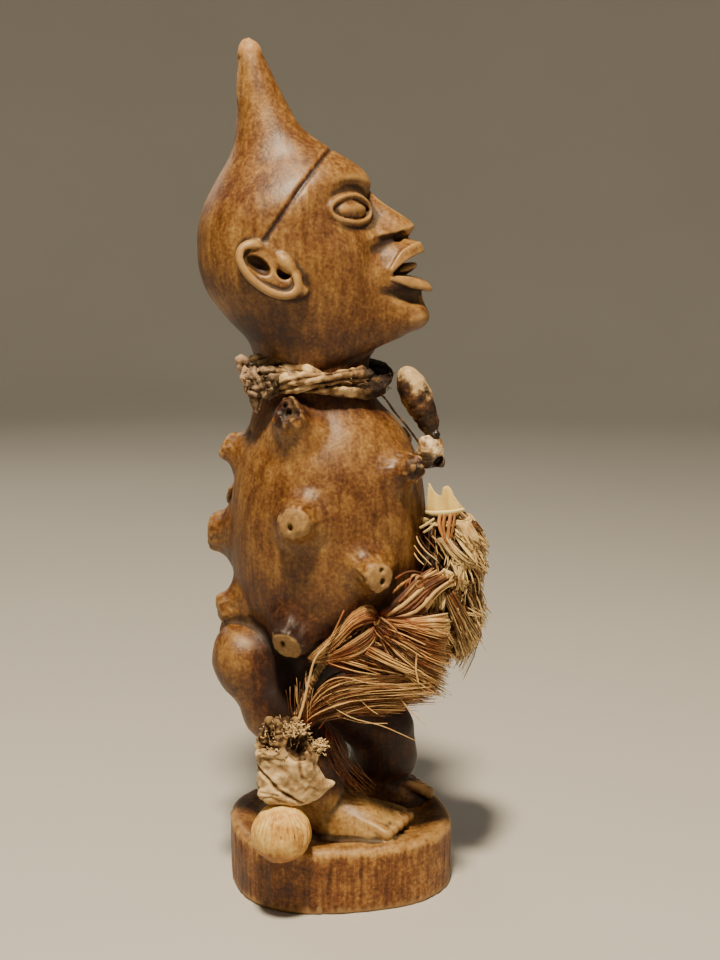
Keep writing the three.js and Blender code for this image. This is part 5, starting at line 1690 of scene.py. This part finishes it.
def make_hip_tuft(material):
    luck = np.random.default_rng(41)
    fan = [
        [(13.8, -31, 104.6), (22, -33, 105.4), (29.5, -32.6, 105), (36.6, -30, 104.2)],
        [(13.8, -31, 103.8), (22.6, -33.8, 102.2), (30, -33.8, 100), (37.6, -30.6, 97.4)],
        [(13.8, -31, 102.8), (21.6, -34.2, 98), (29.2, -34.4, 93.8), (37.9, -31, 90.2)],
        [(13.6, -31, 101.8), (20, -34.2, 94.8), (28, -34.4, 88.6), (37, -31.2, 83)],
        [(13.2, -30.6, 101), (17, -33.6, 92.6), (25, -33.8, 84.6), (35.4, -31.2, 77.4)],
    ]
    back = [[(x, y + 4.4, z - 0.6) for x, y, z in line] for line in fan]
    filling = [
        [(8, -29.6, 98), (16, -31, 94), (24, -30.6, 89), (33, -29, 83)],
        [(2, -29.6, 92), (10, -31.6, 89.6), (20, -31.2, 86), (31, -29.4, 80)],
        [(-3, -29.6, 90), (6, -32, 87.2), (16, -31.6, 84.4), (27, -29.6, 80)],
    ]
    vanes = [
        [(23, -33, 104.6), (28, -33.4, 105.2), (32.4, -32.6, 105.6), (37.4, -30.6, 105.6)],
        [(23.6, -33.6, 103.6), (28.4, -33.8, 103.4), (32.8, -33, 103.2), (37.8, -30.8, 102.6)],
        [(23.6, -33.8, 102.6), (28.4, -34.2, 101.2), (33, -33.4, 100), (37.8, -31, 98.4)],
    ]
    upper_leaf = [
        [(13.2, -31, 105.6), (10.4, -32.6, 109.6), (5, -33.2, 107.4), (-2, -33.2, 99.4), (-10, -31.8, 91)],
        [(13.2, -31.6, 104.8), (10, -34.2, 106.8),
         (4.6, -34.8, 103.8), (-2, -34.4, 96.6), (-10, -32, 90.8)],
        [(13, -31.6, 104), (9.4, -34.4, 103.8),
         (4.6, -34.8, 101.8), (-1.4, -34.2, 95.2), (-9.6, -32, 90.6)],
    ]
    lower_leaf = [
        [(12.8, -31.2, 103), (9.4, -34.4, 101), (4.4, -34.8, 97.8), (-1.6, -34.2, 93.6), (-9.2, -32, 90.4)],
        [(13, -31.2, 101.6), (11, -33.8, 96.8), (6, -34.2, 93.2), (-1, -33.6, 91.2), (-9, -31.8, 90)],
        [(13.2, -30.8, 100.2), (11.9, -32.6, 94.6),
         (6.2, -33, 90.8), (-1.4, -32.8, 90), (-8.6, -31.6, 89.6)],
    ]
    straps = [
        [(14, -31, 105.6), (20, -32, 111.4), (26.4, -28.6, 117), (33, -24, 119.6)],
        [(15.6, -31.4, 104.8), (23.4, -31.6, 109), (31, -27, 114.6), (38, -22.6, 117.6)],
        [(18.6, -31.6, 104.6), (28, -30.6, 106.4), (34, -26, 112.6), (40, -21.8, 115.6)],
    ]
    root = [
        [(12.6, -31.2, 105.6), (16, -33, 104.6), (20.4, -34.2, 101.8)],
        [(12.4, -31, 102), (14.6, -33, 99), (18.4, -34.4, 95.6)],
    ]
    long_pale = [
        [(10.6, -34.2, 95.4), (18, -35.2, 92), (25.4, -34.8, 88.8), (35.6, -31.6, 84.6)],
        [(9.6, -34.2, 93.6), (17.4, -35, 89.6), (25, -34.6, 86.2), (35.2, -31.6, 81.2)],
    ]
    parts = [sheaf(luck, *row) for row in [
        (520, filling, (0.16, 0.40), (0.08, 0.14), (1.2, 1.5), 7, 0.25, 0.6, (0.05, 0.9)),
        # The strands behind the fan are given dark tones: painted shade.
        (300, back, (0.16, 0.40), (0.08, 0.14), (0.6, 1.4), 7, 0.22, 0.6, (0.0, 0.45)),
        (430, fan, (0.12, 0.34), (0.07, 0.13), (0.4, 1.0), 8, 0.16, 0.5, (0.05, 0.95), 0.4),
        (70, vanes, (0.35, 0.75), (0.07, 0.12), (0.25, 0.35), 8, 0.10, 0.2, (0.55, 1.0), 0.9),
        (330, upper_leaf, (0.12, 0.26), (0.08, 0.13), (0.18, 0.25), 11, 0.04, 0.12, (0.25, 0.95), 0.3),
        (300, lower_leaf, (0.12, 0.26), (0.08, 0.13), (0.18, 0.25), 11, 0.04, 0.12, (0.15, 0.9), 0.3),
        (56, straps, (0.55, 1.35), (0.10, 0.18), (0.4, 0.6), 10, 0.10, 0.2, (0.05, 1.1), 0.95),
        (110, root, (0.18, 0.45), (0.10, 0.16), (0.5, 0.9), 6, 0.35, 0.4, (0.1, 0.6), 0.5),
        (26, long_pale, (0.20, 0.34), (0.10, 0.15), (0.4, 0.8), 9, 0.2, 0.3, (0.8, 1.0), 0.6),
    ]]
    needles = [
        [(16.8, -35.4, 102.2), (23.2, -36, 99.8), (29.5, -35.6, 96.7)],
        [(26.6, -35.8, 93.8), (26.3, -36.2, 88.4), (27.3, -35.6, 82.8)],
        [(15.6, -34.8, 99.6), (22.4, -36, 96.4), (28.6, -35.6, 92.2)],
    ]
    paths = np.stack([along_path(line, 9) for line in needles])
    half = np.array([0.30, 0.42, 0.24])[:, None]
    parts.append(strand_mesh(paths, half, 0.16, None, [1.0, 1.0, 0.9], 4, (0, -1, 0)))
    curl = np.array((26.2, -28.4, 116.4))
    for number, (centre, radius, lean) in enumerate([
        (KNOT, 1.7, 0.2), (KNOT + (0.8, -0.6, 0.3), 1.9, -0.3), (KNOT + (-0.9, -0.3, 0.2), 1.7, 0.5),
        (curl, 2.3, 0.9), (curl + (1.4, -0.2, 0.4), 1.6, 0.3), (curl + (-1.6, 0.4, -1.2), 1.8, 0.6),
    ]):
        a = np.linspace(0, TAU, 26, endpoint=False)
        axis = unit([1.0, -0.2, lean]) if number < 3 else unit([0.35, -1.0, 0.2 * lean])
        side = unit(np.cross(axis, (0.1, 1, 0.1) if number < 3 else (0, 0.1, 1)))
        up = np.cross(axis, side)
        ring = centre + radius * (side * np.cos(a)[:, None] + up * np.sin(a)[:, None] * 1.1)
        ring = ring + 0.4 * np.stack([noise(ring, 2.6, 120 + number + k) for k in range(3)], -1)
        parts.append(tube(ring, 0.50, 0.4, 2, 8, 0.12, 130 + number))
    for number, line in enumerate([
        [(19.4, -25.6, 117.2), (23.1, -25.4, 119.3), (26.3, -25, 119.6), (30.4, -23.6, 117.8)],
        [(18.6, -27, 112.6), (22.4, -27.8, 116.4), (27.4, -26.8, 119)],
    ]):
        parts.append(tube(along_path(line, 26), 0.55, 0.5, 3, 8, 0.12, 140 + number, closed=False))
    piece_of("hip_feathers", merged(parts), material, "hip_tuft")


def make_sweep(material):
    luck = np.random.default_rng(51)
    sweep = [
        [(-12, -32, 68), (-8.8, -33.2, 76.6), (-3, -34, 83.2),
         (5, -34.2, 85.4), (18.4, -33.6, 85.4), (31, -32, 85.6)],
        [(-12, -32.4, 67.6), (-8, -33.8, 73.6), (-1, -34.6, 78.4),
         (9, -34.6, 80.4), (20, -33.8, 80.6), (34.6, -31.6, 81.8)],
        [(-12.2, -32.4, 67), (-7.4, -33.6, 71.2), (0.8, -34.4, 74.4),
         (8.4, -34.2, 76.4), (20, -33.4, 77), (35.6, -31.6, 77.4)],
        [(-12.4, -32, 66.4), (-8, -33, 69.4), (-2, -33.6, 70.8),
         (5, -33.2, 71.8), (12, -32.6, 71.8), (18, -32.2, 72)],
    ]
    behind = [[(x, y + 3.8, z - 1.2) for x, y, z in line] for line in sweep]
    hair = [
        [(-5, -30.5, 64), (-3.4, -30.5, 56), (1.4, -27.5, 47), (7.4, -22.5, 37.5)],
        [(-3, -29.5, 64), (0.4, -29.5, 57), (5.4, -26, 48), (12.4, -21, 39)],
    ]
    fringe = [
        [(-15.6, -33.6, 69), (-16.4, -34.6, 75), (-16.8, -34.2, 80), (-17.2, -33.2, 84)],
        [(-11.2, -33.6, 69), (-10.8, -34.8, 75), (-9.8, -34.2, 81), (-8.6, -32.8, 88)],
    ]
    parts = [sheaf(luck, *row) for row in [
        # The strands behind the sweep are given dark tones: painted shade.
        (240, behind, (0.16, 0.36), (0.07, 0.13), (0.8, 1.6), 10, 0.3, 0.6, (0.0, 0.35)),
        (360, sweep, (0.12, 0.30), (0.07, 0.13), (0.5, 0.9), 11, 0.16, 0.4, (0.05, 0.95), 0.3),
        (42, hair, (0.10, 0.22), (0.08, 0.12), (1.0, 1.7), 9, 0.4, 0.8, (0.0, 0.35)),
        (18, fringe, (0.10, 0.24), (0.08, 0.12), (1.2, 1.8), 8, 0.5, 0.7, (0.1, 1.0), 0.5),
    ]]
    wisps = [
        [(-6.6, -34.6, 78.8), (-1.6, -35.2, 74.4),
         (5.3, -35, 70.4), (15.2, -34.2, 67.4), (26.3, -32.8, 61.8)],
        [(4.8, -35, 79.8), (8.8, -35.2, 75.7), (11, -35, 73.6), (13.5, -34.8, 71.8)],
        [(21, -34.6, 77.6), (23.4, -34.6, 74.4), (26.4, -34, 71), (29.9, -33.2, 67.4)],
        [(-6.9, -33.6, 66.2), (-2.9, -34.4, 71.3),
         (0.9, -34.6, 70.7), (8.2, -34.4, 68.7), (16.8, -33.8, 68.3)],
        [(-7.4, -35.2, 80.4), (-3.2, -35.6, 84.2),
         (2.6, -35.6, 85.2), (11.2, -35.4, 83), (27.4, -33.2, 82.2)],
        [(-3.4, -34.8, 90), (2.5, -35.4, 88.2), (8.8, -35.2, 86.7), (18.4, -34.4, 85)],
    ]
    half = 0.30 * (1 - 0.5 * np.linspace(0, 1, 16))[None]
    for line, tone in zip(wisps, (1.0, 0.85, 1.0, 0.7, 0.95, 0.9)):
        parts.append(strand_mesh(along_path(line, 16)[None], half, 0.14, None, [tone], 4, (0, -1, 0.2)))
    quill = [
        (1.9, -35.2, 108.6), (-3.3, -35.6, 97.6), (-7.9, -35, 91.8), (-10.2, -34.6, 83.6),
        (-12, -34.8, 75.8), (-14, -35.4, 69.4),
    ]
    half, thick = np.linspace(0.34, 0.66, 22)[None], np.linspace(0.3, 0.5, 22)[None]
    parts.append(strand_mesh(along_path(quill, 22)[None], half, thick, (0, 1, 0), [0.85], 6))
    piece_of("low_feathers", merged(parts), material, "sweep_tuft")


# Cloth packet and nut

CLOTH = dict(x=-18.0, y=-33.4, low=41.6, high=70.0)

# Half-width and shift in x at shares of the cloth packet's height
CLOTH_ROWS = [
    (0, 7.6, 0), (0.06, 9.4, 0), (0.2, 10.3, 0.1), (0.45, 10.4, 0.2), (0.60, 10.2, 0.3), (0.67, 8.4, -0.5),
    (0.82, 6.8, -1), (0.94, 5.4, -0.6), (1, 3.8, 0),
]

# Its creases: way in x and z, width and depth
CLOTH_FOLDS = [
    ([(-28.5, 54.4), (-24.6, 52.0), (-19.5, 47.6), (-12.3, 42.4)], 0.60, 1.1),
    ([(-29.0, 47.8), (-25.0, 47.0), (-20.5, 46.0)], 0.35, 0.40),
    ([(-28.0, 45.2), (-23.0, 45.4), (-18.0, 43.6)], 0.40, 0.45),
    ([(-13.4, 58.6), (-13.0, 55.0), (-12.2, 52.0)], 0.60, 0.60),
    ([(-24.0, 57.6), (-18.6, 55.0), (-14.6, 51.0), (-11.0, 46.0)], 0.90, 0.25),
]


def line_distance(x, z, line):
    best = np.full(x.shape, 99.0)
    for (x0, z0), (x1, z1) in zip(line[:-1], line[1:]):
        dx, dz = x1 - x0, z1 - z0
        t = np.clip(((x - x0) * dx + (z - z0) * dz) / (dx * dx + dz * dz), 0, 1)
        best = np.minimum(best, np.hypot(x - x0 - dx * t, z - z0 - dz * t))
    return best


def make_cloth_packet(material):
    cx, cy, low, high = (CLOTH[key] for key in ("x", "y", "low", "high"))
    look = curve_through(CLOTH_ROWS)

    def pouch(x, y, z):
        t = (z - low) / (high - low)
        half, shift = look(t)
        squareness = 2.6
        a = np.abs(x - cx - shift) / half
        b = np.abs(y - cy + 2.6 * (1 - t)) / (half * 0.76)
        r = (a**squareness + b**squareness + 1e-6) ** (1 / squareness)
        return np.maximum((r - 1) * half * 0.76, np.maximum(low - z, z - high))

    def build(clay):
        centre = (cx, cy - 1, 56)
        part, (x, y, z) = clay.near(centre, (21, 18, 22))
        bag = levelled(pouch(*np.broadcast_arrays(x, y, z)), clay.step).astype(np.float32)
        clay.value[part] = np.minimum(clay.value[part], bag)
        clay.join(centre, 22, ellipsoid((cx + 7.6, cy - 4.4, 48.6), (6.4, 3.4, 5.6), (0, 30, 0)), 2.4)
        clay.join(centre, 22, ellipsoid((cx + 12.6, cy - 3.8, 47.0), (4.6, 2.0, 1.5), (0, -16, 0)), 2.4)
        clay.join(centre, 22, ellipsoid((cx - 4.5, cy - 9.0, 46.5), (5.6, 2.2, 2.6), (0, -6, 0)), 1.2)
        clay.join(centre, 22, ellipsoid((cx + 4.5, cy - 8.0, 53.5), (5.0, 2.4, 5.6), (0, 24, 0)), 1.5)
        clay.join(centre, 22, rod((cx - 9.0, cy - 6.6, 59.6), (cx - 1.5, cy - 8.4, 60.2), 1.5, 1.3), 0.6)
        clay.join(centre, 22, rod((cx - 8.5, cy - 4.0, 62.2), (cx - 5.4, cy - 5.6, 70.6), 2.2, 1.7), 0.7)
        clay.carve((cx + 3.6, cy - 7.2, 61.8), 9, ellipsoid((cx + 3.8, cy - 7.4, 61.8), (4.2, 5.4, 4.2)), 0.8)

    def detail(points, normal):
        x, y, z = points.T
        front = smooth_step(0.2, -0.3, normal[:, 1])
        upper = smooth_step(57.5, 60.5, z)
        push = 0.40 * layered(points * (1, 1, 1.5), 5.5, 142, 3) + 0.16 * layered(points, 1.6, 144, 2)
        for line, wide, deep in CLOTH_FOLDS:
            push -= front * deep * np.exp(-((line_distance(x, z, line) / wide) ** 2))
        slanted = np.stack([x * 0.7 + z * 0.3, y, z * 1.1 - x * 0.35], -1)
        fold = smooth_step(0.86, 1.0, 1 - np.abs(noise(slanted, 6.0, 141)))
        push -= 0.7 * fold * (1 - front * 0.8)
        ridges = smooth_step(0.8, 1, 1 - np.abs(noise(points, 3.6, 146)))
        push += upper * (0.85 * layered(points, 3.0, 145, 3) - 0.8 * ridges)
        return push

    parts = [lump((cx, cy - 1, 57), (21, 17, 22), 0.4, build, detail, 3)]
    luck = np.random.default_rng(61)
    for centre, count, reach, way in [
        ((-14.4, -37.6, 67.6), 130, 2.2, (0.2, -0.6, 0.6)),
        ((-6.4, -35.4, 60.8), 120, 1.8, (0.8, -0.5, 0.1)),
        ((-24.0, -37.5, 66.0), 40, 2.2, (-0.5, -0.7, 0.4)),
        ((-20.0, -40.0, 60.6), 30, 2.2, (-0.2, -0.9, 0.2)),
    ]:
        base = np.array(centre) + luck.normal(size=(count, 3)) * reach * 0.6 - np.array(way) * 1.2
        aim = unit(np.array(way) + luck.normal(size=(count, 3)) * 0.8)
        tips = base + aim * luck.uniform(1.0, 2.8, (count, 1))
        paths = bent_paths(luck, base, tips, 0.5)
        half = luck.uniform(0.16, 0.42, (count, 1))
        facing = luck.normal(size=(count, 3))
        tone = luck.uniform(0.9, 1.2, count)
        parts.append(strand_mesh(paths, half, 0.16, facing, tone, 4))
    count = 90
    a = luck.uniform(0, TAU, count)
    z = luck.uniform(58, 70, count)
    base = np.stack([cx + np.cos(a) * 7.0, cy - 1.0 + np.sin(a) * 5.4, z], -1)
    tips = base + np.stack([np.cos(a) * 2.0, np.sin(a) * 2.0, luck.normal(size=count) * 2.0], -1)
    paths = along_path(np.stack([base, (base + tips) / 2, tips], 1), 5)
    parts.append(strand_mesh(paths, 0.14, 0.10, (0, 0, 1), luck.uniform(0.3, 0.9, count), 3))
    part = merged(parts)
    x, y, z = part["points"].T
    # dark paints the inside of the pocket at the top near black: painted shade.
    dark = smooth_step(4.2, 2.6, np.sqrt((x - cx - 3.6) ** 2 + (z - 62) ** 2)) * smooth_step(-42.5, -40, y)
    body = np.arange(len(z)) < len(parts[0]["points"])
    crust = body * smooth_step(58.0, 61.5, z + 0.25 * (x - cx) + 1.2 * layered(part["points"], 4, 149, 2))
    part["facts"]["along"] = part["facts"]["along"] * (1 - 0.8 * dark) - 0.45 * crust
    part["facts"]["tone"] = part["facts"]["tone"] * (1 - 0.9 * dark) - 0.35 * crust
    piece_of("cloth_bundle", part, material, "cloth_packet")


NUT = dict(place=(-19.6, -41, 32), radius=10.0)


def make_nut(material):
    place, radius = np.array(NUT["place"], float), NUT["radius"]

    def build(clay):
        clay.join(place, 14, ellipsoid(place, (radius, radius, radius * 0.97)), 0)
        lower = (radius * 0.96, radius * 0.96, radius * 0.86)
        clay.join(place, 16, ellipsoid(place + (0, 0, -1.5), lower), 2)

    def detail(points, normal):
        d = points - place
        a = np.arctan2(d[:, 1], d[:, 0])
        up = d[:, 2] / radius
        ribs = np.cos(a * 34 + 2.5 * noise(points, 5, 151)) * smooth_step(-0.45, 0.35, up)
        push = 0.24 * ribs + 0.28 * layered(points, 5, 152, 3)
        unrolled = np.stack([a * 3.2, up * 0.9, 0 * a], -1)
        crack = smooth_step(0.93, 0.995, 1 - np.abs(noise(unrolled, 1.0, 153)))
        push -= 0.40 * crack * smooth_step(-0.9, 0.2, up)
        for x, z, wide, high in [(-4.4, -1.2, 1.0, 2.9), (1.4, 3.6, 1.7, 2.5)]:
            r = np.sqrt(((d[:, 0] - x) / wide) ** 2 + ((d[:, 2] - z) / high) ** 2)
            open_side = smooth_step(0.6, -0.2, (d[:, 0] - x) / wide + 0.4)
            push -= 0.40 * np.exp(-(((r - 1) / 0.2) ** 2)) * (d[:, 1] < 0) * open_side
        groove = np.exp(-(((up + 0.42 + 0.05 * np.sin(2 * a)) / 0.045) ** 2))
        return push - 0.28 * groove

    part = lump(place, (14, 14, 14), 0.32, build, detail, 5)
    part["facts"]["tone"] = (part["points"][:, 2] - place[2]) / radius
    piece_of("hanging_palm_nut", part, material, "hanging_nut")


def nut_paint():
    p = Paint("dry_nut", Specular_IOR_Level=0.35)
    lines = p.noise(520, 3, stretch=(1, 1, 0.2))
    mottle = p.noise(130, 4, rough=0.6)
    fine = p.noise(1200, 3)
    upper = p.between(p.fact("tone"), -0.75, -0.30)
    share = p.weigh((lines, 0.40), (mottle, 0.45), (fine, 0.15), (upper, 0.16))
    colour = p.ramp(
        share, (0.42, (0.22, 0.075, 0.015)), (0.54, (0.42, 0.18, 0.042)),
        (0.64, (0.68, 0.37, 0.090)), (0.78, (0.84, 0.60, 0.20)),
    )
    # Darker in its creases and openings: painted shade.
    colour = p.mix(p.between(p.fact("hollow"), -0.1, -0.8), colour, (0.09, 0.035, 0.010))
    height = p.weigh((lines, 1.0), (fine, 0.6))
    return p.finish(colour, p.between(mottle, 0.2, 0.8, 0.42, 0.7), height, 0.00016)


# Stage: pale floor, soft studio light, and the camera where the photograph was taken from

def set_stage():
    scene = bpy.context.scene
    rings = [(0.35, 0), (0.8, 0), (1.4, 0)]
    rings += [(1.4 + 0.8 * math.sin(t), 0.9 * (1 - math.cos(t))) for t in np.linspace(0, math.pi / 2, 13)[1:]]
    rings.append((2.2, 1.9))
    around = 64
    angles = np.arange(around) * TAU / around
    points = [(0, 0, 0)]
    points += [(r * math.cos(a), r * math.sin(a), z) for r, z in rings for a in angles]
    faces = [(0, 1 + k, 1 + (k + 1) % around) for k in range(around)]
    for ring in range(len(rings) - 1):
        first = 1 + ring * around
        for k in range(around):
            after = (k + 1) % around
            faces.append((first + k, first + around + k, first + around + after, first + after))
    mesh = bpy.data.meshes.new("floor")
    mesh.from_pydata(points, [], faces)
    for face in mesh.polygons:
        face.use_smooth = True
    floor = bpy.data.objects.new("floor", mesh)
    scene.collection.objects.link(floor)
    paint = Paint("pale_floor")
    shade = paint.noise(3, 2)
    colour = paint.mix(shade, (0.50, 0.475, 0.44), (0.56, 0.535, 0.50))
    floor.data.materials.append(paint.finish(colour, paint.between(shade, 0, 1, 0.75, 0.85), shade, 0.0001))

    def lamp(name, place, target, size, power, colour):
        light = bpy.data.lights.new(name, "AREA")
        light.shape = "DISK"
        light.size = size
        light.energy = power
        light.color = colour
        made = bpy.data.objects.new(name, light)
        scene.collection.objects.link(made)
        made.location = place
        aim = np.array(target) - np.array(place)
        made.rotation_euler = (
            math.acos(-aim[2] / np.linalg.norm(aim)), 0, math.atan2(aim[1], aim[0]) - math.pi / 2,
        )

    lamp("key", (-0.05, -0.43, 1.05), (0, 0, 0.15), 0.12, 23.0, (1.0, 0.86, 0.62))
    lamp("side", (0.80, -0.40, 0.55), (0, 0, 0.14), 0.5, 0.7, (1.0, 0.88, 0.72))
    lamp("back", (-0.55, 0.8, 0.75), (0, 0, 0.15), 0.6, 2.4, (1.0, 0.90, 0.76))
    world = bpy.data.worlds.new("room")
    scene.world = world
    world.use_nodes = True
    world.node_tree.nodes["Background"].inputs["Color"].default_value = (0.88, 0.85, 0.81, 1)
    world.node_tree.nodes["Background"].inputs["Strength"].default_value = 0.07

    camera = bpy.data.cameras.new("camera")
    camera.lens = 56.25
    camera.sensor_width = 36
    camera.sensor_fit = "AUTO"
    camera.clip_start = 0.01
    made = bpy.data.objects.new("camera", camera)
    scene.collection.objects.link(made)
    made.location = (0.0073, -0.5284, 0.2352)
    made.rotation_euler = (math.radians(90 - 9.43), 0, 0)
    scene.camera = made


make_figure(wood_paint())
neck_cloth = cloth_paint("neck_cloth_fibre", (0.022, 0.010, 0.005), (0.27, 0.150, 0.062), (0.74, 0.52, 0.26))
make_neck_cloth(neck_cloth)
nape_cloth = cloth_paint("nape_rag_cloth", (0.016, 0.009, 0.005), (0.105, 0.066, 0.034), (0.44, 0.29, 0.18))
make_nape_knot(nape_cloth)
make_pod(pod_paint())
make_shell(shell_paint())
make_packet(fibre_paint("packet_fibre", (0.022, 0.008, 0.004), (0.21, 0.095, 0.030), (0.76, 0.55, 0.24)))
make_hip_cord(fibre_paint("cord_fibre", (0.05, 0.022, 0.009), (0.26, 0.14, 0.055), (0.55, 0.36, 0.16)))
make_leaf(leaf_paint())
feather = fibre_paint(
    "feather_fibre", (0.024, 0.007, 0.003), (0.21, 0.072, 0.022), (0.74, 0.47, 0.18),
    tip=0.88, root=(0.24, 0.050, 0.011),
)
make_hip_tuft(feather)
make_sweep(feather)
crusted = cloth_paint("crusted_cloth", (0.050, 0.024, 0.010), (0.34, 0.205, 0.085), (0.76, 0.55, 0.28))
make_cloth_packet(crusted)
make_nut(nut_paint())
set_stage()
